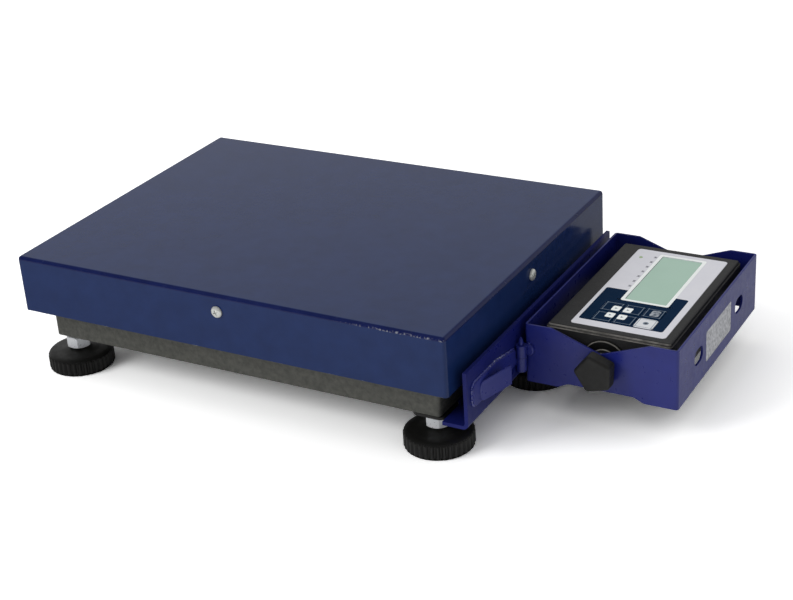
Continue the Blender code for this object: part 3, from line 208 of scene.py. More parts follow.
def upright(middle: Vector, along: Vector) -> bool:
    """True for an upright edge."""
    return abs(along.z) > ALONG


def facing(outward: Point) -> Matrix:
    """The turn that brings +Z to a direction."""
    return Vector(outward).to_track_quat("Z", "Y").to_matrix().to_4x4()


@dataclass
class Piece:
    """One piece on the bench, shaped with Blender's own tools, whose place is in its mesh."""

    thing: bpy.types.Object

    @staticmethod
    def clear_bench() -> None:
        """Leaves edit mode and deselects everything."""
        active = bpy.context.view_layer.objects.active
        if active is not None and active.mode != "OBJECT":
            bpy.ops.object.mode_set(mode="OBJECT")
        bpy.ops.object.select_all(action="DESELECT")

    @classmethod
    def adopt(cls, name: str) -> Piece:
        """Names the new active object and moves its place into its mesh.

        Args:
            name: name of the piece.

        Returns:
            The piece.
        """
        thing = bpy.context.active_object
        thing.name = name
        thing.data.name = name
        bpy.ops.object.transform_apply(location=True, rotation=True, scale=True)
        return cls(thing)

    @classmethod
    def block(cls, name: str, low: Point, high: Point) -> Piece:
        """Starts from a block between two corners.

        Args:
            name: name of the piece.
            low: lowest corner.
            high: highest corner.

        Returns:
            The block.
        """
        cls.clear_bench()
        low, high = Vector(low), Vector(high)
        bpy.ops.mesh.primitive_cube_add(size=1.0, location=(low + high) / 2, scale=high - low)
        return cls.adopt(name)

    @classmethod
    def bar(cls, name: str, start: Point, end: Point, radius: float, sides: int = 40) -> Piece:
        """Starts from a round bar between two points.

        Args:
            name: name of the piece.
            start: middle of the first end.
            end: middle of the other end.
            radius: radius of the bar.
            sides: number of sides.

        Returns:
            The bar.
        """
        cls.clear_bench()
        start, end = Vector(start), Vector(end)
        along = end - start
        bpy.ops.mesh.primitive_cylinder_add(
            vertices=sides,
            radius=radius,
            depth=along.length,
            location=(start + end) / 2,
            rotation=along.to_track_quat("Z", "Y").to_euler(),
        )
        return cls.adopt(name)

    @classmethod
    def post(cls, name: str, spot: Point, low: float, high: float, radius: float, sides: int = 40) -> Piece:
        """Starts from an upright round bar over a spot on the floor."""
        return cls.bar(name, (spot[0], spot[1], low), (spot[0], spot[1], high), radius, sides)

    @classmethod
    def bead(cls, name: str, path: Sequence[Point], radius: float, fineness: float) -> Piece:
        """Lays a lumpy weld bead along a path.

        Args:
            name: name of the piece.
            path: points that the bead runs through.
            radius: mean radius of its lumps.
            fineness: size of the cells that the lumps are melted together with.

        Returns:
            The bead.
        """
        lumps = []
        for start, end in zip(path, path[1:]):
            start, end = Vector(start), Vector(end)
            count = max(1, round((end - start).length / (LUMP_SPACING * radius)))
            for step in range(count + 1):
                number = len(lumps)
                size = radius * sum((share * math.sin(rate * number) for share, rate in LUMP_WAVES), 1.0)
                cls.clear_bench()
                place = start.lerp(end, step / count)
                bpy.ops.mesh.primitive_ico_sphere_add(subdivisions=2, radius=size, location=place)
                lumps.append(cls.adopt(name))
        bead = lumps[0].join(*lumps[1:])
        return bead.apply("REMESH", mode="VOXEL", voxel_size=fineness)

    @classmethod
    def flat(cls, name: str, outline: Outline, plane: Plane, low: float, high: float) -> Piece:
        """Starts from a filled outline and extrudes it across its plane.

        Args:
            name: name of the piece.
            outline: points of the outline.
            plane: plane that the outline is drawn in.
            low: level of the first face.
            high: level of the other face.

        Returns:
            The plate.
        """
        cls.clear_bench()
        bpy.ops.mesh.primitive_circle_add(vertices=len(outline), radius=1.0, fill_type="NGON")
        piece = cls.adopt(name)
        for vert, (a, b) in zip(piece.thing.data.vertices, outline):
            vert.co = plane.point(a, b, low)
        piece.work()
        bpy.ops.mesh.select_all(action="SELECT")
        move = {"value": plane.point(0.0, 0.0, high - low)}
        bpy.ops.mesh.extrude_region_move(TRANSFORM_OT_translate=move)
        bpy.ops.mesh.select_all(action="SELECT")
        bpy.ops.mesh.normals_make_consistent(inside=False)
        return piece.rest()

    @classmethod
    def turned(
        cls, name: str, profile: Sequence[Pair], steps: int, foot: Point = (0, 0, 0), axis: Point = (0, 0, 1)
    ) -> Piece:
        """Starts from a closed half section and spins it round its axis.

        Args:
            name: name of the piece.
            profile: reach and height of each point of the section.
            steps: number of steps round the axis.
            foot: where the section's zero height lies on the axis.
            axis: direction of the axis.

        Returns:
            The turned piece.
        """
        cls.clear_bench()
        bpy.ops.mesh.primitive_circle_add(vertices=len(profile), radius=1.0, fill_type="NOTHING")
        piece = cls.adopt(name)
        for vert, (reach, height) in zip(piece.thing.data.vertices, profile):
            vert.co = (reach, 0.0, height)
        if piece.select(Pick.EDGE, lambda middle, along: middle.x < 1e-7):
            bpy.ops.mesh.delete(type="EDGE")
        bpy.ops.mesh.select_all(action="SELECT")
        bpy.ops.mesh.spin(steps=steps, angle=FULL_TURN, center=(0, 0, 0), axis=(0, 0, 1))
        bpy.ops.mesh.select_all(action="SELECT")
        bpy.ops.mesh.remove_doubles(threshold=1e-6)
        bpy.ops.mesh.normals_make_consistent(inside=False)
        return piece.rest().move(Matrix.Translation(foot) @ facing(axis))

    def work(self) -> None:
        """Goes into edit mode on this piece alone."""
        if self.thing.mode != "EDIT":
            self.rest()
            bpy.ops.object.mode_set(mode="EDIT")

    def rest(self) -> Piece:
        """Leaves edit mode with this piece alone selected.

        Returns:
            This piece.
        """
        self.clear_bench()
        self.thing.select_set(True)
        bpy.context.view_layer.objects.active = self.thing
        return self

    def move(self, matrix: Matrix) -> Piece:
        """Moves the piece and keeps its place in its mesh.

        Args:
            matrix: where the piece goes.

        Returns:
            This piece.
        """
        self.rest()
        self.thing.matrix_world = matrix
        bpy.ops.object.transform_apply(location=True, rotation=True, scale=True)
        return self

    def select(self, kind: Pick, test: Test) -> int:
        """Selects the faces or edges that pass a test.

        Args:
            kind: what to select.
            test: gets the middle of each candidate, and a face's normal or an edge's direction.

        Returns:
            How many passed.
        """
        self.work()
        bpy.ops.mesh.select_mode(type=kind.value)
        bpy.ops.mesh.select_all(action="DESELECT")
        cells = bmesh.from_edit_mesh(self.thing.data)
        cells.normal_update()
        if kind is Pick.EDGE:
            ends = [(edge, *(vert.co for vert in edge.verts)) for edge in cells.edges]
            candidates = [(edge, (a + b) / 2, (b - a).normalized()) for edge, a, b in ends]
        else:
            candidates = [(face, face.calc_center_median(), face.normal) for face in cells.faces]
        chosen = [cell for cell, middle, direction in candidates if test(middle, direction)]
        for cell in chosen:
            cell.select_set(True)
        bmesh.update_edit_mesh(self.thing.data)
        return len(chosen)

    def open_towards(self, *directions: Point) -> None:
        """Takes away the faces that look along the given directions.

        Args:
            directions: the directions, one after another.
        """
        for direction in directions:
            look = Vector(direction)
            self.select(Pick.FACE, lambda middle, normal, look=look: normal.dot(look) > ALONG)
            bpy.ops.mesh.delete(type="FACE")
        self.rest()

    def raise_top(self, margin: float, rise: float) -> Piece:
        """Insets the piece's top and pulls it up as a step.

        Args:
            margin: width of the ledge round the step.
            rise: height of the step.

        Returns:
            This piece.
        """
        self.select(Pick.FACE, lambda middle, normal: normal.z > ALONG)
        bpy.ops.mesh.inset(thickness=margin, depth=0.0)
        bpy.ops.mesh.extrude_region_move(TRANSFORM_OT_translate={"value": (0.0, 0.0, rise)})
        return self

    def round_over(self, test: Test, radius: float, steps: int) -> None:
        """Rounds the edges that pass a test.

        Args:
            test: gets the middle and direction of each edge.
            radius: radius of the round.
            steps: number of faces across it.
        """
        if self.select(Pick.EDGE, test):
            bpy.ops.mesh.bevel(offset=radius, segments=steps, profile=0.5, affect="EDGES", clamp_overlap=True)
        self.rest()

    def apply(self, kind: str, **settings: object) -> Piece:
        """Adds a modifier, sets it and applies it.

        Args:
            kind: Blender's name of the modifier.
            settings: its values.

        Returns:
            This piece.
        """
        self.rest()
        bpy.ops.object.modifier_add(type=kind)
        modifier = self.thing.modifiers[-1]
        for key, value in settings.items():
            setattr(modifier, key, value)
        bpy.ops.object.modifier_apply(modifier=modifier.name)
        return self

    def sheet(self, thickness: float) -> Piece:
        """Gives a surface its thickness, inwards."""
        return self.apply("SOLIDIFY", thickness=thickness, offset=-1.0, use_even_offset=True)

    def cut(self, *tools: Piece) -> Piece:
        """Cuts other pieces out of this one and scraps them."""
        return self.combine("DIFFERENCE", tools)

    def weld(self, *others: Piece) -> Piece:
        """Melts other pieces into this one."""
        return self.combine("UNION", others)

    def keep_within(self, *moulds: Piece) -> Piece:
        """Keeps only what lies inside other pieces and scraps them."""
        return self.combine("INTERSECT", moulds)

    def combine(self, operation: str, others: Iterable[Piece]) -> Piece:
        """Runs one Boolean after another.

        Args:
            operation: Blender's name of the Boolean.
            others: the other pieces, which are scrapped.

        Returns:
            This piece.
        """
        for other in others:
            self.apply("BOOLEAN", operation=operation, solver="EXACT", object=other.thing)
            other.scrap()
        return self

    def scrap(self) -> None:
        """Removes the piece."""
        self.clear_bench()
        mesh = self.thing.data
        bpy.data.objects.remove(self.thing, do_unlink=True)
        bpy.data.meshes.remove(mesh)

    def break_edges(self, width: float = FINE_BREAK) -> Piece:
        """Takes the sharpness off every hard edge."""
        limit = math.radians(40.0)
        return self.apply("BEVEL", width=width, segments=2, limit_method="ANGLE", angle_limit=limit)

    def smooth(self, angle: float = 32.0) -> Piece:
        """Shades the piece smooth, with broad faces kept flat.

        Args:
            angle: largest angle between faces, in degrees, that is smoothed.

        Returns:
            This piece.
        """
        self.rest()
        bpy.ops.object.shade_smooth_by_angle(angle=math.radians(angle))
        return self.apply("WEIGHTED_NORMAL", keep_sharp=True, weight=80)

    def copy(self, name: str, matrix: Matrix) -> Piece:
        """Copies the piece, with its own mesh, to another place.

        Args:
            name: name of the copy.
            matrix: where the copy goes, seen from this piece.

        Returns:
            The copy.
        """
        self.rest()
        bpy.ops.object.duplicate(linked=False)
        twin = Piece(bpy.context.active_object)
        twin.thing.name = name
        twin.thing.data.name = name
        return twin.move(matrix)

    def join(self, *others: Piece) -> Piece:
        """Gathers other pieces into this object, each with its own finish.

        Args:
            others: the other pieces.

        Returns:
            This piece.
        """
        self.rest()
        for other in others:
            other.thing.select_set(True)
        bpy.ops.object.join()
        return self

    def paint(self, finish: Finish) -> Piece:
        """Gives the whole piece one finish.

        Args:
            finish: the finish.

        Returns:
            This piece.
        """
        self.thing.data.materials.clear()
        self.thing.data.materials.append(finish.material())
        return self

    def paint_faces(self, finish: Finish, test: Test) -> None:
        """Gives the faces that pass a test a finish of their own.

        Args:
            finish: the finish.
            test: gets the middle and normal of each face.
        """
        self.thing.data.materials.append(finish.material())
        self.select(Pick.FACE, test)
        self.thing.active_material_index = len(self.thing.data.materials) - 1
        bpy.ops.object.material_slot_assign()
        self.rest()

    def set_on(self, body: str, slot: str, *nodes: str) -> None:
        """Sets the finished piece on its body.

        Args:
            body: CAD body that it moves with.
            slot: the record's material slot; not used.
            nodes: CAD nodes that it stands for.
        """
        self.rest()
        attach(self.thing, body)
        if nodes:
            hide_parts(*nodes)
        LOG.info("%s on %s: %d faces", self.thing.name, body, len(self.thing.data.polygons))


class Nodes:
    """Builds the shader nodes of a material or of the world."""

    def __init__(self, owner: bpy.types.Material | bpy.types.World) -> None:
        """Starts from the nodes that a new material or world has."""
        owner.use_nodes = True
        self.tree = owner.node_tree

    def add(self, kind: str, **values: object) -> bpy.types.Node:
        """Adds a node and feeds its named inputs, or sets its own properties.

        Args:
            kind: Blender's name of the node.
            values: inputs by name with spaces as underscores, or properties.

        Returns:
            The node.
        """
        node = self.tree.nodes.new(kind)
        for key, value in values.items():
            label = key.replace("_", " ")
            if label in node.inputs:
                self.feed(node.inputs[label], value)
            else:
                setattr(node, key, value)
        return node

    def feed(self, target: Socket, value: object) -> None:
        """Links an input to another node's output, or sets its constant.

        Args:
            target: the input.
            value: an output socket, or the constant.
        """
        if isinstance(value, Socket):
            self.tree.links.new(value, target)
        else:
            target.default_value = value

    def place(self, scale: Point = (1.0, 1.0, 1.0)) -> Socket:
        """Object coordinates, stretched by a Mapping node."""
        source = self.add("ShaderNodeTexCoord")
        return self.add("ShaderNodeMapping", Vector=source.outputs["Object"], Scale=scale).outputs["Vector"]

    def noise(self, where: Socket, scale: float, detail: float) -> Socket:
        """A noise pattern."""
        node = self.add("ShaderNodeTexNoise", Vector=where, Scale=scale, Detail=detail, Roughness=0.55)
        return node.outputs["Fac"]

    def cells(self, where: Socket, scale: float) -> Socket:
        """A pattern of soft round cells."""
        look = {"feature": "SMOOTH_F1", "Scale": scale, "Smoothness": 0.6}
        return self.add("ShaderNodeTexVoronoi", Vector=where, **look).outputs["Distance"]

    def mapped(self, value: Socket, source: Pair, target: Sequence[float | Socket]) -> Socket:
        """Maps one range of a value to another one, whose ends may be values too, and holds it there."""
        ends = {"From_Min": source[0], "From_Max": source[1], "To_Min": target[0], "To_Max": target[1]}
        return self.add("ShaderNodeMapRange", Value=value, **ends).outputs["Result"]

    def dot(self, first: Socket, second: Socket | Point) -> Socket:
        """How far two directions agree, as their dot product.

        Args:
            first: the first direction.
            second: the other one, or a constant.

        Returns:
            The product.
        """
        node = self.add("ShaderNodeVectorMath", operation="DOT_PRODUCT", Vector=first)
        self.feed(node.inputs[1], second)
        return node.outputs["Value"]

    def between(self, value: Socket, first: Colour, last: Colour) -> Socket:
        """Fades between two colours over the middle of a pattern.

        Args:
            value: the pattern.
            first: colour of its low part.
            last: colour of its high part.

        Returns:
            The colour.
        """
        node = self.add("ShaderNodeValToRGB", Fac=value)
        for end, place, colour in zip(node.color_ramp.elements, PATTERN_MIDDLE, (first, last)):
            end.position = place
            end.color = shade(colour)
        return node.outputs["Color"]

    def rubbed(self, tint: Socket, bare: Colour, reach: float, patches: Socket) -> Socket:
        """Lets a bare colour show in patches along sharp edges.

        Args:
            tint: colour of the finish.
            bare: colour under it.
            reach: how far from an edge it is rubbed.
            patches: pattern that breaks the wear up.

        Returns:
            The rubbed colour.
        """
        softened = self.add("ShaderNodeBevel", samples=4, Radius=reach)
        surface = self.add("ShaderNodeNewGeometry")
        likeness = self.dot(softened.outputs["Normal"], surface.outputs["Normal"])
        edge = self.mapped(likeness, EDGE_LIKENESS, (0.0, 1.0))
        amount = self.add("ShaderNodeMath", operation="MULTIPLY", Value=edge)
        self.feed(amount.inputs[1], self.mapped(patches, WORN_PATCHES, (0.0, WORN_SHARE)))
        return self.blended(tint, bare, amount.outputs["Value"])

    def scuffed_and_glinting(self, tint: Socket, bare: Colour, zone: tuple[Point, Point], specks: Socket) -> Socket:
        """Lets a light colour show in specks inside one oval zone, as scuffs to bare metal on the pan's fold
        and as painted glints on the welds.

        Args:
            tint: colour of the finish.
            bare: colour of the specks, bare metal for scuffs and a painted glint for the welds.
            zone: middle and half sizes of the zone.
            specks: pattern of the specks.

        Returns:
            The colour with its scuffs and painted glints.
        """
        source = self.add("ShaderNodeTexCoord")
        mapping = self.add("ShaderNodeMapping", vector_type="TEXTURE", Location=zone[0], Scale=zone[1])
        self.feed(mapping.inputs["Vector"], source.outputs["Object"])
        oval = self.add("ShaderNodeTexGradient", gradient_type="SPHERICAL", Vector=mapping.outputs["Vector"])
        inside = self.mapped(oval.outputs["Fac"], SCUFF_GLINT_EDGE, (0.0, SCUFF_GLINT_SHARE))
        return self.blended(tint, bare, self.mapped(specks, SCUFF_GLINT_SPECKS, (0.0, inside)))

    def blended(self, tint: Socket, other: Colour, amount: Socket) -> Socket:
        """Fades a colour into another one.

        Args:
            tint: first colour.
            other: colour that shows where the amount is one.
            amount: how much of it shows.

        Returns:
            The blend.
        """
        blend = self.add("ShaderNodeMix", data_type="RGBA", Factor=amount)
        colours = [socket for socket in blend.inputs if socket.type == "RGBA"]
        self.feed(colours[0], tint)
        self.feed(colours[1], shade(other))
        return next(socket for socket in blend.outputs if socket.type == "RGBA")

    def bump(self, normal: Socket, height: Socket, strength: float, depth: float) -> None:
        """Adds relief on top of what a shader's normal already has.

        Args:
            normal: the shader's normal.
            height: pattern of heights.
            strength: share of the relief that shows.
            depth: depth of the relief in metres.
        """
        node = self.add("ShaderNodeBump", Strength=strength, Distance=depth, Height=height)
        if normal.is_linked:
            self.feed(node.inputs["Normal"], normal.links[0].from_socket)
        self.feed(normal, node.outputs["Normal"])


@dataclass(frozen=True)
class Texture:
    """The fine relief of a finish: its shape, scale, depth in metres and the share that shows."""

    relief: Relief
    scale: float
    depth: float
    strength: float

    def press(self, nodes: Nodes, where: Socket, normal: Socket) -> None:
        """Presses the relief into a shader's normal.

        Args:
            nodes: nodes of the material.
            where: coordinates of the pattern.
            normal: the shader's normal.
        """
        if self.relief is Relief.HAMMER:
            height = nodes.cells(where, self.scale)
        elif self.relief is Relief.BRUSHED:
            height = nodes.noise(nodes.place(BRUSH_STRETCH), self.scale, RELIEF_DETAIL)
        else:
            height = nodes.noise(where, self.scale, RELIEF_DETAIL)
        nodes.bump(normal, height, self.strength, self.depth)
        if self.relief is Relief.PEEL:
            waves = nodes.noise(where, self.scale / WAVE_BREADTH, 1.0)
            nodes.bump(normal, waves, self.strength / 2, self.depth * WAVE_DEPTH)


@dataclass(frozen=True)
class Finish:
    """A surface finish with mottled colour, uneven gloss and fine relief."""

    name: str
    colour: Colour
    variant: Colour
    gloss: Pair
    texture: Texture
    mottle_scale: float = 60.0
    metallic: float = 0.0
    specular: float = 0.5
    worn_colour: Colour | None = None
    wear_reach: float = 0.0007
    # Zone of light specks: scuffs on the pan's fold, painted glints on the welds.
    scuff_and_glint: tuple[Point, Point] | None = None

    def material(self) -> bpy.types.Material:
        """The finish as a material, made once."""
        known = bpy.data.materials.get(self.name)
        return known if known is not None else self.make()

    def make(self) -> bpy.types.Material:
        """Builds the material's nodes.

        Returns:
            The material.
        """
        material = bpy.data.materials.new(self.name)
        nodes = Nodes(material)
        shader = nodes.tree.nodes["Principled BSDF"].inputs
        where = nodes.place()
        tint = nodes.between(nodes.noise(where, self.mottle_scale, MOTTLE_DETAIL), self.colour, self.variant)
        if self.worn_colour is not None:
            tint = nodes.rubbed(tint, self.worn_colour, self.wear_reach, nodes.noise(where, *WEAR_NOISE))
        # Specks in the zone show bare metal as scuffs on the pan's fold and a painted glint on the welds.
        if self.scuff_and_glint is not None:
            tint = nodes.scuffed_and_glinting(tint, BARE_EDGE_AND_GLINT, self.scuff_and_glint, nodes.noise(where, *SCUFF_GLINT_NOISE))
        uneven = nodes.noise(where, self.mottle_scale * GLOSS_FINENESS, GLOSS_DETAIL)
        nodes.feed(shader["Metallic"], self.metallic)
        nodes.feed(shader["Specular IOR Level"], self.specular)
        nodes.feed(shader["Base Color"], tint)
        nodes.feed(shader["Roughness"], nodes.mapped(uneven, PATTERN_MIDDLE, self.gloss))
        self.texture.press(nodes, where, shader["Normal"])
        return material


# Bare metal at worn edges and scuffs. The same light colour is the painted glint on the welds.
BARE_EDGE_AND_GLINT = (150, 152, 158)
PAN_BLUE = Finish(
    "pan_blue_enamel", (19, 36, 76), (23, 41, 84), gloss=(0.14, 0.24),
    texture=Texture(Relief.PEEL, 700.0, 0.00005, 0.25), specular=0.20, worn_colour=BARE_EDGE_AND_GLINT,
)
# Painted shade: a darker copy of the pan's blue for the fold along the top, a painted dark reflection. The
# specks near its corner are real scuffs.
PAN_FOLD_SHADE = replace(
    PAN_BLUE, name="pan_blue_fold", colour=(12, 21, 64), variant=(16, 26, 72), gloss=(0.16, 0.28),
    scuff_and_glint=((0.098, -0.1497, 0.1065), (0.062, 0.0030, 0.0014)),
)
BRACKET_BLUE = Finish(
    "bracket_blue_enamel", (23, 30, 102), (27, 35, 110), gloss=(0.26, 0.38),
    texture=Texture(Relief.PEEL, 800.0, 0.00005, 0.20), specular=0.40, worn_colour=(96, 100, 140),
    wear_reach=0.0005,
)
# Painted shade: a darker, less glossy copy of the bracket's blue for the side plate and the inner faces of
# the indicator ring, which sit in shade and reflect dark parts.
SHADED_BLUE = replace(
    BRACKET_BLUE, name="side_bracket_blue_enamel", colour=(18, 24, 84), variant=(22, 28, 92), specular=0.14,
)
# The light specks in the zone at the top of the welded leaf are painted glints on the weld bead.
WELD_BLUE = Finish(
    "weld_blue_enamel", (23, 30, 100), (40, 46, 120), gloss=(0.10, 0.24),
    texture=Texture(Relief.PEEL, 900.0, 0.0002, 0.4), mottle_scale=420.0, specular=0.7,
    scuff_and_glint=((0.1435, -0.086, 0.0615), (0.014, 0.022, 0.010)),
)
HAMMERED_GREY = Finish(
    "hammered_grey_enamel", (56, 57, 53), (76, 76, 71), gloss=(0.30, 0.50),
    texture=Texture(Relief.HAMMER, 420.0, 0.0005, 0.55), mottle_scale=240.0, specular=0.35,
    worn_colour=BARE_EDGE_AND_GLINT,
)
# Painted shade: a darker, duller copy of the hammered grey for the downward-facing lower bend of the ring.
SHADED_GREY = replace(
    HAMMERED_GREY, name="hammered_grey_edge", colour=(30, 30, 28), variant=(44, 44, 40), gloss=(0.40, 0.60),
    texture=Texture(Relief.HAMMER, 420.0, 0.0003, 0.4), specular=0.15, worn_colour=None,
)
FOOT_BLACK = Finish(
    "foot_black_plastic", (15, 15, 14), (20, 20, 19), gloss=(0.36, 0.54),
    texture=Texture(Relief.GRAIN, 2600.0, 0.00006, 0.35), specular=0.35,
)
KNOB_BLACK = Finish(
    "knob_black_plastic", (24, 24, 23), (31, 31, 30), gloss=(0.50, 0.66),
    texture=Texture(Relief.GRAIN, 2200.0, 0.00008, 0.40), specular=0.35,
)
HOUSING_CHARCOAL = Finish(
    "housing_charcoal_plastic", (36, 36, 37), (43, 43, 43), gloss=(0.44, 0.58),
    texture=Texture(Relief.GRAIN, 2400.0, 0.00012, 0.45), mottle_scale=300.0, specular=0.30,
)
# Painted highlight: a light colour on rounded edges that face the light, the housing's front lip and top edge
# and the friction discs' rims.
HOUSING_HIGHLIGHT = Finish(
    "housing_rubbed_edge", (74, 72, 69), (128, 125, 120), gloss=(0.30, 0.44),
    texture=Texture(Relief.GRAIN, 2400.0, 0.0001, 0.4), mottle_scale=120.0, specular=0.40,
)
ZINC = Finish(
    "bright_zinc", (196, 198, 196), (214, 214, 208), gloss=(0.22, 0.38),
    texture=Texture(Relief.GRAIN, 900.0, 0.00004, 0.3), mottle_scale=220.0, metallic=0.5,
)
NUT_ZINC = Finish(
    "nut_zinc", (206, 209, 214), (224, 226, 229), gloss=(0.24, 0.40),
    texture=Texture(Relief.GRAIN, 700.0, 0.00002, 0.15), mottle_scale=130.0, metallic=0.4,
)
RAW_STEEL = Finish(
    "plain_steel", (148, 148, 146), (170, 170, 168), gloss=(0.35, 0.52),
    texture=Texture(Relief.BRUSHED, 40.0, 0.00005, 0.3), metallic=1.0,
)
ALUMINIUM = Finish(
    "satin_aluminium", (190, 192, 195), (206, 208, 210), gloss=(0.30, 0.42),
    texture=Texture(Relief.BRUSHED, 50.0, 0.00004, 0.3), metallic=1.0,
)
RUBBER = Finish(
    "soft_rubber", (26, 26, 26), (34, 34, 34), gloss=(0.7, 0.85),
    texture=Texture(Relief.GRAIN, 1500.0, 0.0001, 0.4),
)
FOIL = Finish(
    "light_grey_foil", (212, 212, 219), (217, 217, 223), gloss=(0.40, 0.48),
    texture=Texture(Relief.GRAIN, 3500.0, 0.00003, 0.25), specular=0.08,
)
PRINT_NAVY = replace(
    FOIL, name="navy_print", colour=(3, 32, 59), variant=(5, 35, 63), gloss=(0.46, 0.54), specular=0.02,
)
PRINT_WHITE = replace(
    FOIL, name="white_print", colour=(214, 216, 220), variant=(220, 222, 225), gloss=(0.42, 0.50),
    texture=Texture(Relief.GRAIN, 3500.0, 0.00003, 0.2),
)
PRINT_BRIGHT = replace(PRINT_WHITE, name="bright_print", colour=(236, 240, 238), variant=(242, 245, 244))
PRINT_GREY = replace(
    PRINT_WHITE, name="grey_print", colour=(112, 126, 140), variant=(122, 135, 147), specular=0.05,
)
PRINT_DARK = replace(PRINT_GREY, name="dark_print", colour=(60, 64, 74), variant=(70, 74, 84))
PRINT_BLOT = replace(
    PRINT_GREY, name="blotted_print", colour=(30, 52, 76), variant=(190, 196, 202), mottle_scale=420.0,
)
DISPLAY_GREEN = Finish(
    "display_grey_green", (162, 191, 175), (167, 195, 180), gloss=(0.16, 0.22),
    texture=Texture(Relief.GRAIN, 3000.0, 0.00002, 0.1), mottle_scale=25.0, specular=0.15,
)
LAMP_GREEN = Finish(
    "lamp_green", (150, 176, 130), (160, 184, 140), gloss=(0.15, 0.2),
    texture=Texture(Relief.GRAIN, 3000.0, 0.00002, 0.1),
)
LABEL_SILVER = Finish(
    "label_silver", (132, 134, 140), (206, 207, 211), gloss=(0.34, 0.50),
    texture=Texture(Relief.GRAIN, 700.0, 0.00006, 0.4), mottle_scale=380.0, metallic=0.2, specular=0.25,
)
BOARD_GREEN = Finish(
    "board_green_mask", (16, 78, 40), (24, 96, 50), gloss=(0.35, 0.45),
    texture=Texture(Relief.GRAIN, 800.0, 0.00005, 0.3), mottle_scale=420.0,
)


@dataclass
class WeighingPan:
    """The folded blue pan and its four screws."""

    low: Vector
    high: Vector
    thickness: float = 0.0015
    bend: float = 0.0030
    bend_steps: int = 6
    shaded_fold_slopes: Pair = (0.12, 0.97)
    screw_drop: float = 0.0145
    screw_hole: float = 0.0025
    screw_seat: float = 0.0003
    head_radius: float = 0.0048
    head_height: float = 0.0026
    head_rim: float = 0.00078
    shank_radius: float = 0.0021
    shank_length: float = 0.0095
    recess_width: float = 0.0009
    recess_length: float = 0.0044
    recess_depth: float = 0.0011
    recess_turn: float = math.radians(25)

    def screw_places(self) -> dict[str, tuple[Vector, Vector]]:
        """Seat and outward direction of each screw.

        Returns:
            Places by side.
        """
        middle = (self.low + self.high) / 2
        level = self.high.z - self.screw_drop
        return {
            "front": (Vector((middle.x, self.low.y, level)), Vector((0, -1, 0))),
            "right": (Vector((self.high.x, middle.y, level)), Vector((1, 0, 0))),
            "back": (Vector((middle.x, self.high.y, level)), Vector((0, 1, 0))),
            "left": (Vector((self.low.x, middle.y, level)), Vector((-1, 0, 0))),
        }

    def build_skin(self) -> None:
        """Folds the pan from a block, gives it its sheet and drills it."""
        skin = Piece.block("pan_skin", self.low, self.high)
        skin.open_towards((0, 0, -1))
        bottom = self.low.z + self.bend
        skin.round_over(lambda middle, along: middle.z > bottom, self.bend, self.bend_steps)
        skin.sheet(self.thickness)
        for seat, outward in self.screw_places().values():
            reach = outward * 4 * self.thickness
            skin.cut(Piece.bar("drill", seat + reach, seat - reach, self.screw_hole, sides=24))
        skin.break_edges().smooth().paint(PAN_BLUE)
        # The fold along the top takes the darker blue, which is painted shade.
        fold = self.high.z - self.bend
        steep, level = self.shaded_fold_slopes
        skin.paint_faces(PAN_FOLD_SHADE, lambda spot, normal: spot.z > fold and steep < normal.z < level)
        skin.set_on("platform", "blue_paint", "pan")

    def build_screws(self) -> None:
        """Turns one screw, cuts its cross recess and copies it to each side."""
        dome = self.head_height - self.head_rim
        curve = arc((0.0, 0.0), 1.0, QUARTER_TURN, 0.0, steps=6)
        profile = [(self.head_radius * x, self.head_rim + dome * y) for x, y in curve]
        profile += [
            (self.head_radius, 0.0),
            (self.shank_radius, 0.0),
            (self.shank_radius, -self.shank_length),
            (0.0, -self.shank_length),
        ]
        master = Piece.turned("screw_master", profile, steps=32)
        half, side = self.recess_length / 2, self.recess_width / 2
        floor, over = self.head_height - self.recess_depth, self.head_height * 2
        master.cut(
            Piece.block("slot_one", (-half, -side, floor), (half, side, over)),
            Piece.block("slot_two", (-side, -half, floor), (side, half, over)),
        )
        spin = Matrix.Rotation(self.recess_turn, 4, "Z")
        for name, (seat, outward) in self.screw_places().items():
            place = Matrix.Translation(seat + outward * self.screw_seat) @ facing(outward) @ spin
            screw = master.copy(f"cross_screw_{name}", place)
            screw.smooth().paint(ZINC).set_on("platform", "zinc", f"pan_screw_{name}")
        master.scrap()

    def build(self) -> None:
        """Builds the pan and its screws."""
        self.build_skin()
        self.build_screws()


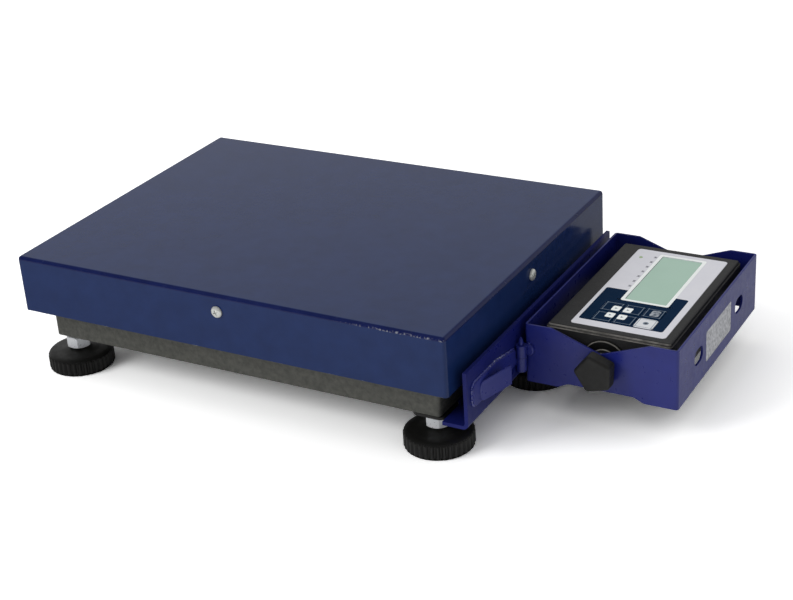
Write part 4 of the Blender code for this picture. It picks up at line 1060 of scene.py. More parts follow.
@dataclass
class ChannelBase:
    """The hammered grey channel ring, its cross beam and the gland of the load cell lead."""

    low: Vector
    high: Vector
    beam_low: Vector
    beam_high: Vector
    stud_places: list[Vector]
    stop_places: list[Vector]
    bolt_places: list[Vector]
    gland_place: Vector
    thickness: float = 0.0025
    corner: float = 0.0035
    bend: float = 0.0024
    bend_steps: int = 6
    flange: float = 0.032
    shaded_bend_slopes: Pair = (-0.98, -0.25)
    stud_hole: float = 0.00605
    stop_hole: float = 0.0043
    bolt_hole: float = 0.0033
    gland_hole: float = 0.0063
    beam_sheet: float = 0.003
    beam_bend: float = 0.004

    def on_rim(self, middle: Vector, along: Vector) -> bool:
        """True for a level edge on the outside of the ring, round its corners too.

        Args:
            middle: middle of the edge.
            along: direction of the edge.

        Returns:
            Whether it is one.
        """
        low, high = self.low, self.high
        at_end = min(middle.z - low.z, high.z - middle.z) < self.bend / 4
        past_x = min(middle.x - low.x, high.x - middle.x) < self.corner
        past_y = min(middle.y - low.y, high.y - middle.y) < self.corner
        return at_end and abs(along.z) < 1 - ALONG and (past_x or past_y)

    def build_ring(self) -> None:
        """Folds the channel ring and drills it."""
        low, high = self.low, self.high
        ring = Piece.block("base_channel", low, high)
        for up in (1.0, -1.0):
            ring.select(Pick.FACE, lambda middle, normal, up=up: normal.z * up > ALONG)
            bpy.ops.mesh.inset(thickness=self.flange, depth=0.0)
            bpy.ops.mesh.delete(type="FACE")
        ring.rest()
        ring.round_over(upright, self.corner, self.bend_steps)
        ring.round_over(self.on_rim, self.bend, self.bend_steps)
        ring.sheet(self.thickness)
        middle, past = (low.z + high.z) / 2, self.flange / 2
        for spot in self.stud_places:
            ring.cut(Piece.post("drill", spot, low.z - past, middle, self.stud_hole))
        for spot in self.stop_places:
            ring.cut(Piece.post("drill", spot, middle, high.z + past, self.stop_hole))
        reach = Vector((2 * self.thickness, 0, 0))
        ring.cut(Piece.bar("drill", self.gland_place - reach, self.gland_place + reach, self.gland_hole))
        ring.break_edges().smooth().paint(HAMMERED_GREY)
        # The ring's downward-facing lower bend takes the darker grey, which is painted shade.
        bend_top = low.z + self.bend
        level, steep = self.shaded_bend_slopes
        ring.paint_faces(SHADED_GREY, lambda spot, normal: spot.z < bend_top and level < normal.z < steep)
        ring.set_on("platform", "grey_paint", "base_frame")

    def build_beam(self) -> None:
        """Folds the beam that carries the load cell."""
        low, high = self.beam_low, self.beam_high
        beam = Piece.block("cell_beam", low, high)
        beam.open_towards((0, 0, -1), (0, 1, 0), (0, -1, 0))
        top = high.z - self.beam_bend
        beam.round_over(lambda spot, along: spot.z > top and abs(along.y) > ALONG, self.beam_bend, steps=5)
        beam.sheet(self.beam_sheet)
        reach = Vector((0, 0, 3 * self.beam_sheet))
        for spot in self.bolt_places:
            beam.cut(Piece.bar("drill", spot - reach, spot + reach, self.bolt_hole, sides=24))
        beam.break_edges().smooth().paint(HAMMERED_GREY).set_on("platform", "grey_paint", "base_beam")

    def build(self) -> None:
        """Builds the ring, the beam and the gland."""
        self.build_ring()
        self.build_beam()
        Gland().build("cell_lead_gland", self.gland_place, Vector((1, 0, 0)), "platform", "base_gland")


@dataclass
class Gland:
    """A moulded cable gland: ribbed cap nut, hex body and a thread through the wall.

    The cap's curve is in shares of its radius and of the gland's length.
    """

    cap_radius: float = 0.0085
    thread_radius: float = 0.006
    bore_radius: float = 0.003
    length: float = 0.014
    thread_length: float = 0.005
    seat: float = 0.0003
    cap_curve: tuple[Pair, ...] = (
        (0.55, 1.0), (0.72, 0.97), (0.92, 0.84), (1.0, 0.72),
        (1.0, 0.46), (0.93, 0.43), (0.93, 0.39), (1.0, 0.36),
    )
    ribs: int = 20
    spokes_per_rib: int = 4
    groove_spokes: int = 2
    grip_reach: float = 0.98
    groove_reach: float = 0.95
    groove_start: float = 0.4

    def build(self, name: str, wall: Vector, outward: Vector, body: str, node: str) -> None:
        """Builds the gland on a wall.

        Args:
            name: name of the piece.
            wall: where its axis leaves the wall.
            outward: direction out of the wall.
            body: body that it rides on.
            node: node that it replaces.
        """
        cap, length = self.cap_radius, self.length
        profile = [
            (self.bore_radius, length),
            *((cap * reach, length * height) for reach, height in self.cap_curve),
            (cap, self.seat),
            (self.thread_radius, self.seat),
            (self.thread_radius, -self.thread_length),
            (self.bore_radius, -self.thread_length),
        ]
        spokes = self.ribs * self.spokes_per_rib
        gland = Piece.turned(name, profile, spokes)
        for vert in gland.thing.data.vertices:
            on_cap = vert.co.xy.length > cap * self.grip_reach and vert.co.z > length * self.groove_start
            spoke = round(math.atan2(vert.co.y, vert.co.x) / FULL_TURN * spokes)
            if on_cap and spoke % self.spokes_per_rib < self.groove_spokes:
                vert.co.xy = vert.co.xy * self.groove_reach
        gland.move(Matrix.Translation(wall) @ facing(outward))
        gland.smooth(angle=28).paint(FOOT_BLACK).set_on(body, "black_plastic", node)


@dataclass
class LevellingFoot:
    """A ribbed black disc with a zinc lock nut on a threaded stud, made once and copied to each place.

    The fillet is in reach past the boss and height over the rim, the crown in shares of the radius and height
    over the rim, and the foot's curve in shares of the radius and height over the floor.
    """

    places: dict[str, tuple[Vector, float]]
    radius: float = 0.028
    hub_radius: float = 0.0105
    boss_radius: float = 0.0160
    hub_height: float = 0.0165
    bore_radius: float = 0.00605
    floor: float = 0.005
    rim_height: float = 0.0142
    bore_break: Pair = (0.0005, 0.0006)
    hub_break: Pair = (0.0007, 0.0005)
    fillet: tuple[Pair, ...] = ((-0.0010, 0.0010), (0.0, 0.0007), (0.0020, 0.0004))
    crown: tuple[Pair, ...] = (
        (0.80, 0.0001), (0.88, -0.0003), (0.94, -0.0010), (0.972, -0.0018), (0.99, -0.0026),
    )
    foot_curve: tuple[Pair, ...] = ((1.0, 0.0009), (0.988, 0.0002), (0.975, 0.0))
    ribs: int = 36
    rib_depth: float = 0.0017
    rib_top: float = 0.0114
    rib_reach: float = 0.98
    spokes_per_rib: int = 8
    stud_radius: float = 0.00575
    stud_foot: float = 0.0053
    pitch: float = 0.00175
    thread_depth: float = 0.0008
    rows_per_turn: int = 6
    run_out: float = 0.7
    run_out_depth: float = 1.4
    stud_sides: int = 28
    nut_foot: float = 0.0176
    nut_height: float = 0.0100
    nut_radius: float = 0.0109
    nut_slope: float = 0.6
    nut_turn: float = math.radians(-59.5)

    def build_disc(self) -> Piece:
        """Turns the disc and presses the grip ribs into its rim.

        Returns:
            The disc at the origin.
        """
        r, rim, top = self.radius, self.rim_height, self.hub_height
        profile = [
            (0.0, self.floor),
            (self.bore_radius, self.floor),
            (self.bore_radius, top - self.bore_break[1]),
            (self.bore_radius + self.bore_break[0], top),
            (self.hub_radius - self.hub_break[0], top),
            (self.hub_radius, top - self.hub_break[1]),
            *((self.boss_radius + reach, rim + height) for reach, height in self.fillet),
            *((r * share, rim + height) for share, height in self.crown),
            (r, self.rib_top),
            (r, self.rib_top / 2),
            *((r * share, height) for share, height in self.foot_curve),
            (0.0, 0.0),
        ]
        disc = Piece.turned("disc_master", profile, self.ribs * self.spokes_per_rib)
        for vert in disc.thing.data.vertices:
            reach = math.hypot(vert.co.x, vert.co.y)
            if reach > r * self.rib_reach and vert.co.z < self.rib_top + self.rib_depth:
                rib = math.atan2(vert.co.y, vert.co.x) / FULL_TURN * self.ribs
                wave = 0.5 + 0.5 * math.cos(rib * FULL_TURN)
                groove = wave * wave * (3 - 2 * wave)
                vert.co.xy = vert.co.xy * (1.0 - self.rib_depth * groove / reach)
        return disc

    def build_nut(self) -> Piece:
        """Cuts the hexagon lock nut, with its corners turned off at both ends.

        Returns:
            The nut at the origin.
        """
        low, high, r = self.nut_foot, self.nut_foot + self.nut_height, self.nut_radius
        hexagon = polygon((0.0, 0.0), r, sides=6, start=self.nut_turn)
        nut = Piece.flat("nut_master", hexagon, Plane.XY, low, high)
        flat, middle = r * math.cos(math.pi / 6), (low + high) / 2
        point = self.nut_height / 2 + flat * self.nut_slope
        mould = [(0.0, middle + point), (point / self.nut_slope, middle), (0.0, middle - point)]
        nut.keep_within(Piece.turned("mould", mould, steps=72))
        nut.cut(Piece.post("bore", (0, 0), low - r, high + r, self.bore_radius, sides=32))
        return nut.break_edges(SMALL_BREAK)

    def build_stud(self, name: str, top: float) -> Piece:
        """Cuts a screw thread into a bar.

        Args:
            name: name of the stud.
            top: height of its upper end.

        Returns:
            The stud at the origin.
        """
        stud = Piece.post(name, (0, 0), self.stud_foot, top, self.stud_radius, self.stud_sides)
        rows = int((top - self.stud_foot) / self.pitch * self.rows_per_turn)
        stud.select(Pick.EDGE, upright)
        bpy.ops.mesh.subdivide(number_cuts=rows)
        stud.rest()
        for vert in stud.thing.data.vertices:
            around = math.atan2(vert.co.y, vert.co.x) / FULL_TURN
            phase = (vert.co.z / self.pitch - around) % 1.0
            depth = self.thread_depth * abs(2 * phase - 1)
            end = min(vert.co.z - self.stud_foot, top - vert.co.z)
            if end < self.pitch * self.run_out:
                depth = max(depth, self.thread_depth * (self.run_out_depth - end / self.pitch))
            vert.co.xy = vert.co.xy * (1 - depth / self.stud_radius)
        return stud

    def build(self) -> None:
        """Builds and copies the discs, nuts and studs."""
        disc, nut = self.build_disc(), self.build_nut()
        for name, (spot, top) in self.places.items():
            place, body = Matrix.Translation(spot), f"foot_{name}"
            twin = disc.copy(f"ribbed_disc_{name}", place)
            twin.smooth(angle=40).paint(FOOT_BLACK).set_on(body, "black_plastic", f"foot_disc_{name}")
            nut.copy(f"lock_nut_{name}", place).smooth().paint(NUT_ZINC).set_on(body, "zinc")
            stud = self.build_stud(f"threaded_stud_{name}", top).move(place)
            stud.smooth(angle=50).paint(ZINC).set_on(body, "zinc", f"foot_stud_{name}")
        disc.scrap()
        nut.scrap()


@dataclass
class SideBracket:
    """The blue angle plate under the base's right end, with a packing plate on each corner foot."""

    low: Vector
    high: Vector
    corner_foot: Vector
    support_foot: Vector
    thickness: float = 0.003
    bend: float = 0.005
    bend_steps: int = 7
    tab: float = 0.022
    notch_margin: float = 0.0135
    notch_corner: float = 0.006
    packing_reach: float = 0.0148
    packing_width: float = 0.0292
    packing_sheet: float = 0.0026
    gap: float = 0.0003
    bore_radius: float = 0.00605
    collar_radius: float = 0.00745
    collar_height: float = 0.007

    def angle(self) -> Outline:
        """The section of the angle plate.

        Returns:
            Its outline across the plate's length.
        """
        low, high, sheet = self.low, self.high, self.thickness
        bend = (high.x - self.bend, low.z + self.bend)
        return [
            (low.x, low.z),
            *arc(bend, self.bend, 3 * QUARTER_TURN, FULL_TURN, self.bend_steps),
            (high.x, high.z),
            (high.x - sheet, high.z),
            *arc(bend, self.bend - sheet, FULL_TURN, 3 * QUARTER_TURN, self.bend_steps),
            (low.x, low.z + sheet),
        ]

    def notch(self, side: int, end: float) -> Outline:
        """The notch in one corner of the plate.

        Args:
            side: front, -1, or back, 1.
            end: where the plate ends on that side.

        Returns:
            Its outline, past the plate's edges.
        """
        edge, r = self.high.x - self.tab, self.notch_corner
        stop = side * (abs(self.corner_foot.y) - self.notch_margin)
        start = 3 * QUARTER_TURN if side > 0 else 0.0
        inner = arc((edge - r, stop + side * r), r, start, start + QUARTER_TURN, steps=6)
        past, left = end + side * self.thickness, self.low.x - self.thickness
        outer = [(edge, past), (left, past), (left, stop)]
        return inner + (outer if side > 0 else outer[::-1])

    def build(self) -> None:
        """Extrudes the angle, welds the collar and cuts the notches for the packing plates."""
        low, high, sheet = self.low, self.high, self.thickness
        plate = Piece.flat("side_angle", self.angle(), Plane.XZ, low.y, high.y)
        spot, top = self.support_foot, low.z + sheet + self.collar_height
        plate.weld(Piece.post("collar", spot, low.z + sheet / 2, top, self.collar_radius))
        under, over = low.z - sheet, low.z + 2 * sheet
        plate.cut(Piece.post("bore", spot, under, top + sheet, self.bore_radius))
        for name, side, end in (("front", -1, low.y), ("back", 1, high.y)):
            plate.cut(Piece.flat("notch", self.notch(side, end), Plane.XY, under, over))
            self.build_packing(name, side)
        # The angle plate takes the darker blue, which is painted shade.
        plate.break_edges(BROAD_BREAK).smooth().paint(SHADED_BLUE)
        plate.set_on("platform", "blue_paint", "side_bracket")

    def build_packing(self, name: str, side: int) -> None:
        """Builds the packing plate on a corner foot, in the angle's notch.

        Args:
            name: name of the side.
            side: front, -1, or back, 1.
        """
        x, y = self.corner_foot.x, side * abs(self.corner_foot.y)
        edge = self.high.x - self.tab - self.gap
        inner = abs(y) - self.notch_margin + self.gap
        near, far = sorted((side * inner, y + side * self.packing_reach))
        outline = rounded((edge - self.packing_width, near), (edge, far), self.notch_corner)
        top = self.low.z + self.thickness
        plate = Piece.flat(f"packing_plate_{name}", outline, Plane.XY, top - self.packing_sheet, top)
        plate.cut(Piece.post("bore", (x, y), self.low.z - top, 2 * top, self.bore_radius))
        # The plate is coloured black as painted shade, for a grey part that sits in shade under the base.
        plate.break_edges(self.gap).smooth().paint(FOOT_BLACK).set_on("platform", "grey_paint")


@dataclass
class LiftOffHinge:
    """The vertical hinge: a welded leaf with a bent tongue and lower knuckle, a pin and the bracket's leaf.

    The curve of the pin's point is in shares of its radius and of its tip.
    """

    axis: Vector
    low: Vector
    high: Vector
    sheet: float = 0.0020
    corner: float = 0.005
    leaf_break: float = 0.0006
    slope_start: float = 0.039
    slope_drop: float = 0.0058
    foot_level: float = 0.0448
    tongue_start: float = 0.0105
    tongue_length: float = 0.034
    tongue_lean: float = 0.0095
    tongue_sheet: float = 0.0022
    tongue_drop: float = 0.0034
    tongue_height: float = 0.0163
    tongue_corner: float = 0.004
    tongue_break: float = 0.0005
    knuckle_radius: float = 0.0042
    knuckle_height: float = 0.0102
    bore_radius: float = 0.0023
    pin_radius: float = 0.0020
    pin_tip: float = 0.005
    pin_curve: tuple[Pair, ...] = ((0.0, 1.0), (0.3, 0.93), (0.7, 0.5), (0.95, 0.12))
    pin_head: float = 0.002
    pin_head_edge: float = 0.6
    pin_head_flat: float = 0.8
    lug_length: float = 0.0092
    lug_sheet: float = 0.0022
    lug_corner: float = 0.004
    lug_round: float = 0.00132
    setback: float = 0.005
    gap: float = 0.0003
    bead_radius: float = 0.0011
    bead_cell: float = 0.0003

    def knuckle(self, low: float, high: float) -> Piece:
        """A round knuckle on the pin's axis."""
        return Piece.post("knuckle", self.axis, low, high, self.knuckle_radius, sides=36)

    def bore(self, low: float, high: float) -> Piece:
        """A drill for the bore of a knuckle."""
        past = self.knuckle_radius
        return Piece.post("bore", self.axis, low - past, high + past, self.bore_radius, sides=24)

    def contour(self) -> Outline:
        """The welded edge of the fixed leaf.

        Returns:
            Its points from the leaf's foot over the top to the knuckle.
        """
        start, top, r = self.low.y, self.high.z, self.corner
        edge = arc((start + r, self.foot_level + r), r, 3 * QUARTER_TURN, math.pi, steps=5)
        edge += arc((start + r, top - r), r, math.pi, QUARTER_TURN, steps=5)
        stop = self.axis.y - self.knuckle_radius - 3 * self.gap
        return edge + [(self.axis.y - self.slope_start, top), (stop, top - self.slope_drop)]

    def tongue(self) -> Piece:
        """The tongue that leans out from the leaf to the lower knuckle.

        Returns:
            The tongue.
        """
        start = self.low.y + self.tongue_start
        end, lean = start + self.tongue_length, self.tongue_lean
        near, far = self.low.x + 2 * self.gap, self.low.x + self.gap + self.tongue_sheet
        section = [(near, start), (far, start), (far + lean, end), (near + lean, end)]
        level = self.high.z - self.tongue_drop
        tongue = Piece.flat("tongue", section, Plane.XY, level - self.tongue_height, level)
        ends = start + self.gap
        tongue.round_over(
            lambda spot, along: spot.y < ends and abs(along.x) > ALONG, self.tongue_corner, steps=6
        )
        return tongue.break_edges(self.tongue_break)

    def build_fixed(self) -> None:
        """Builds the leaf on the side plate, its tongue and the lower knuckle."""
        low = self.low
        middle = low.z + self.knuckle_height
        edge = self.contour()
        step = middle - self.gap
        outline = edge + [(edge[-1][0], step), (self.axis.y, step), (self.axis.y, self.foot_level)]
        leaf = Piece.flat("welded_leaf", outline, Plane.YZ, low.x + self.gap, low.x + self.sheet)
        leaf.break_edges(self.leaf_break)
        leaf.weld(self.tongue(), self.knuckle(low.z, middle)).cut(self.bore(low.z, middle))
        leaf.smooth().paint(BRACKET_BLUE).set_on("platform", "blue_paint", "hinge_leaf_fixed")
        self.build_weld("leaf_weld", [(low.x, y, z) for y, z in edge], "platform")

    def build_weld(self, name: str, path: Sequence[Point], body: str) -> None:
        """Lays a painted weld along a path."""
        bead = Piece.bead(name, path, self.bead_radius, self.bead_cell)
        bead.smooth(angle=60).paint(WELD_BLUE).set_on(body, "blue_paint")

    def build_pin(self) -> None:
        """Turns the pin with its head and pointed end."""
        bottom = self.low.z
        top = bottom + 2 * self.knuckle_height + self.gap + self.pin_radius
        r, head = self.pin_radius, self.knuckle_radius
        profile = [
            *((r * reach, top + self.pin_tip * height) for reach, height in self.pin_curve),
            (r, top),
            (r, bottom - self.gap),
            (head, bottom - self.gap),
            (head, bottom - self.pin_head * self.pin_head_edge),
            (head * self.pin_head_flat, bottom - self.pin_head),
            (0.0, bottom - self.pin_head),
        ]
        pin = Piece.turned("pointed_pin", profile, steps=28, foot=(self.axis.x, self.axis.y, 0.0))
        pin.smooth(angle=40).paint(BRACKET_BLUE).set_on("platform", "zinc", "hinge_pin")

    def build_moving(self) -> None:
        """Builds the upper knuckle with its lug, welded to the indicator bracket."""
        x, gap = self.axis.x, self.gap
        low = self.low.z + self.knuckle_height + gap
        high = low + self.knuckle_height
        face = self.axis.y + self.setback - gap
        front, far = face - self.lug_sheet, x + self.lug_length
        lug = Piece.block("bracket_lug", (x, front, low + gap), (far, face, high - gap))
        lug.round_over(
            lambda spot, along: spot.x > far - gap and abs(along.y) > ALONG, self.lug_corner, steps=6
        )
        lug.round_over(lambda spot, along: spot.y < front + gap, self.lug_round, steps=4)
        lug.weld(self.knuckle(low, high)).cut(self.bore(low, high))
        lug.break_edges().smooth().paint(BRACKET_BLUE)
        lug.set_on("indicator_bracket", "blue_paint", "hinge_leaf_moving")
        path = [(x + self.knuckle_radius, face, high), (far - self.lug_corner, face, high - gap)]
        self.build_weld("lug_weld", path, "indicator_bracket")

    def build(self) -> None:
        """Builds the fixed leaf, the pin and the moving leaf."""
        self.build_fixed()
        self.build_pin()
        self.build_moving()


@dataclass
class IndicatorBracket:
    """The folded ring with V-cut cheeks, raised lower edges, end slots and a bare plate."""

    low: Vector
    high: Vector
    pivot: Vector
    thickness: float = 0.002
    bend: float = 0.0025
    bend_steps: int = 6
    vee_width: float = 0.080
    vee_depth: float = 0.0145
    notch_bottom: float = 0.074
    notch_top: float = 0.050
    notch_height: float = 0.004
    notch_steps: int = 8
    pivot_hole: float = 0.0043
    slot_spacing: float = 0.096
    slot_length: float = 0.019
    slot_height: float = 0.013
    slot_corner: float = 0.0062
    slot_level: float = 0.051
    label_width: float = 0.059
    label_height: float = 0.026
    label_corner: float = 0.0015
    label_level: float = 0.050
    label_shift: float = -0.0015
    label_sheet: float = 0.0003
    label_gap: float = 0.0002

    def slope(self, side: int) -> Outline:
        """One smooth end of the notch under a cheek, from the lower edge upwards.

        Args:
            side: which end, -1 or 1.

        Returns:
            The points of the curve.
        """
        points: Outline = []
        for step in range(self.notch_steps + 1):
            share = step / self.notch_steps
            width = self.notch_bottom + (self.notch_top - self.notch_bottom) * share
            rise = self.notch_height * (1 - math.cos(math.pi * share)) / 2
            points.append((self.pivot.x + side * width / 2, self.low.z + rise))
        return points

    def cheek_tools(self) -> list[Piece]:
        """Tools that cut both cheeks at once.

        Returns:
            Those of the V, of the raised lower edge and of the pivot's hole.
        """
        low, high, x, z = self.low, self.high, self.pivot.x, self.pivot.z
        start, end = low.y - self.thickness, high.y + self.thickness
        over, under = high.z + self.thickness, low.z - self.thickness
        flare = self.vee_width / 2 * (1 + self.thickness / self.vee_depth)
        vee = [(x - flare, over), (x, high.z - self.vee_depth), (x + flare, over)]
        foot = self.notch_bottom / 2
        notch = [(x + foot, under), (x - foot, under), *self.slope(-1), *reversed(self.slope(1))]
        return [
            Piece.flat("vee", vee, Plane.XZ, start, end),
            Piece.flat("notch", notch, Plane.XZ, start, end),
            Piece.bar("bore", (x, start, z), (x, end, z), self.pivot_hole),
        ]

    def slot_tools(self) -> list[Piece]:
        """Tools that cut the slots in the end plate.

        Returns:
            One for each slot.
        """
        tools = []
        inner, outer = self.high.x - 2 * self.thickness, self.high.x + self.thickness
        half = (self.slot_length / 2, self.slot_height / 2)
        for side in (-1, 1):
            y = self.pivot.y + side * self.slot_spacing / 2
            outline = pad((y, self.slot_level), half, self.slot_corner, steps=8)
            tools.append(Piece.flat("slot", outline, Plane.YZ, inner, outer))
        return tools

    def label_outline(self, margin: float = 0.0) -> Outline:
        """The outline of the plate between the slots, grown by a margin."""
        half = (self.label_width / 2 + margin, self.label_height / 2 + margin)
        return pad((self.pivot.y + self.label_shift, self.label_level), half, self.label_corner)

    def build_ring(self) -> None:
        """Folds the ring and cuts its cheeks, its slots and the pocket for the bare plate."""
        face, pivot = self.high.x, self.pivot
        ring = Piece.block("bracket_ring", self.low, self.high)
        ring.open_towards((0, 0, 1), (0, 0, -1))
        ring.round_over(upright, self.bend, self.bend_steps)
        ring.sheet(self.thickness)
        ring.cut(*self.cheek_tools(), *self.slot_tools())
        ring.break_edges(BROAD_BREAK)
        pocket = self.label_outline(self.label_gap)
        ring.cut(Piece.flat("pocket", pocket, Plane.YZ, face - self.label_sheet, face + self.thickness))
        ring.smooth().paint(BRACKET_BLUE)
        # Faces that look in towards the pivot take the darker blue, which is painted shade inside the ring.
        ring.paint_faces(SHADED_BLUE, lambda spot, normal: (pivot - spot).xy.dot(normal.xy) > self.thickness)
        ring.set_on("indicator_bracket", "blue_paint", "indicator_bracket")

    def build_label(self) -> None:
        """Builds the bare mottled plate in its pocket between the slots."""
        inset = self.label_gap / 4
        face = self.high.x - inset
        back = face - self.label_sheet / 2
        label = Piece.flat("bare_plate", self.label_outline(), Plane.YZ, back, face)
        label.break_edges(inset).smooth().paint(LABEL_SILVER).set_on("indicator_bracket", "foil")

    def build(self) -> None:
        """Builds the ring and its plate."""
        self.build_ring()
        self.build_label()


@dataclass
class TiltHead:
    """Sizes of one turning head on the tilt axis."""

    piece: str
    side: int
    sides: int
    radius: float
    corner: float
    turn: float
    height: float
    hub_radius: float
    hub_height: float
    chamfer: float
    cap: float


@dataclass
class TiltKnobs:
    """The five-sided hand knob in front and the hexagon head at the back."""

    pivot: Vector
    cheek: float
    gap: float = 0.0003
    bore_radius: float = 0.0043
    back_chamfer: float = 0.4

    def heads(self) -> dict[str, TiltHead]:
        """The two heads by their place.

        Returns:
            The heads.
        """
        knob = TiltHead(
            "five_sided_knob", side=-1, sides=5, radius=0.0165, corner=0.0030, turn=math.radians(15),
            height=0.011, hub_radius=0.010, hub_height=0.0037, chamfer=0.0022, cap=0.003,
        )
        hexagon = TiltHead(
            "hexagon_head", side=1, sides=6, radius=0.0098, corner=0.0008, turn=0.0, height=0.0064,
            hub_radius=0.0092, hub_height=0.0016, chamfer=0.0008, cap=0.002,
        )
        return {"front": knob, "back": hexagon}

    def outline(self, head: TiltHead) -> Outline:
        """A head's outline with round corners.

        Args:
            head: sizes of the head.

        Returns:
            The outline about the pivot.
        """
        spread = math.pi / head.sides
        inner = head.radius - head.corner / math.cos(spread)
        points: Outline = []
        for number in range(head.sides):
            angle = head.turn + QUARTER_TURN + 2 * number * spread
            centre = (self.pivot.x + inner * math.cos(angle), self.pivot.z + inner * math.sin(angle))
            points += arc(centre, head.corner, angle - spread, angle + spread, steps=8)
        return points

    def build(self) -> None:
        """Builds both heads with their hubs."""
        x, y, z = self.pivot
        for name, head in self.heads().items():
            side = head.side
            foot = y + side * (self.cheek + self.gap)
            face = foot + side * head.hub_height
            front = face + side * head.height
            knob = Piece.flat(f"{head.piece}_{name}", self.outline(head), Plane.XZ, face, front)
            tip, back = front - side * self.gap, face + side * self.gap
            knob.round_over(lambda middle, along: (middle.y - tip) * side > 0, head.chamfer, steps=5)
            behind = head.chamfer * self.back_chamfer
            knob.round_over(lambda middle, along: (back - middle.y) * side > 0, behind, steps=3)
            hub_end, bore_end = face + side * head.cap, front - side * head.cap
            hub = Piece.bar("hub", (x, foot, z), (x, hub_end, z), head.hub_radius, sides=48)
            bore = Piece.bar("bore", (x, foot - side, z), (x, bore_end, z), self.bore_radius, sides=32)
            knob.weld(hub).cut(bore)
            knob.smooth().paint(KNOB_BLACK).set_on(f"knob_{name}", "black_plastic", f"tilt_knob_{name}")


class KeyMark(Enum):
    """The generic mark that is printed on a key, by the key's material slot."""

    TARGET = "white_key"
    BLOT = "grey_key"
    PAD = "navy_key"


@dataclass
class Key:
    """One key of the keypad, with its mark's place from its middle."""

    name: str
    centre: Pair
    cap: Finish
    mark: KeyMark
    shift: Pair


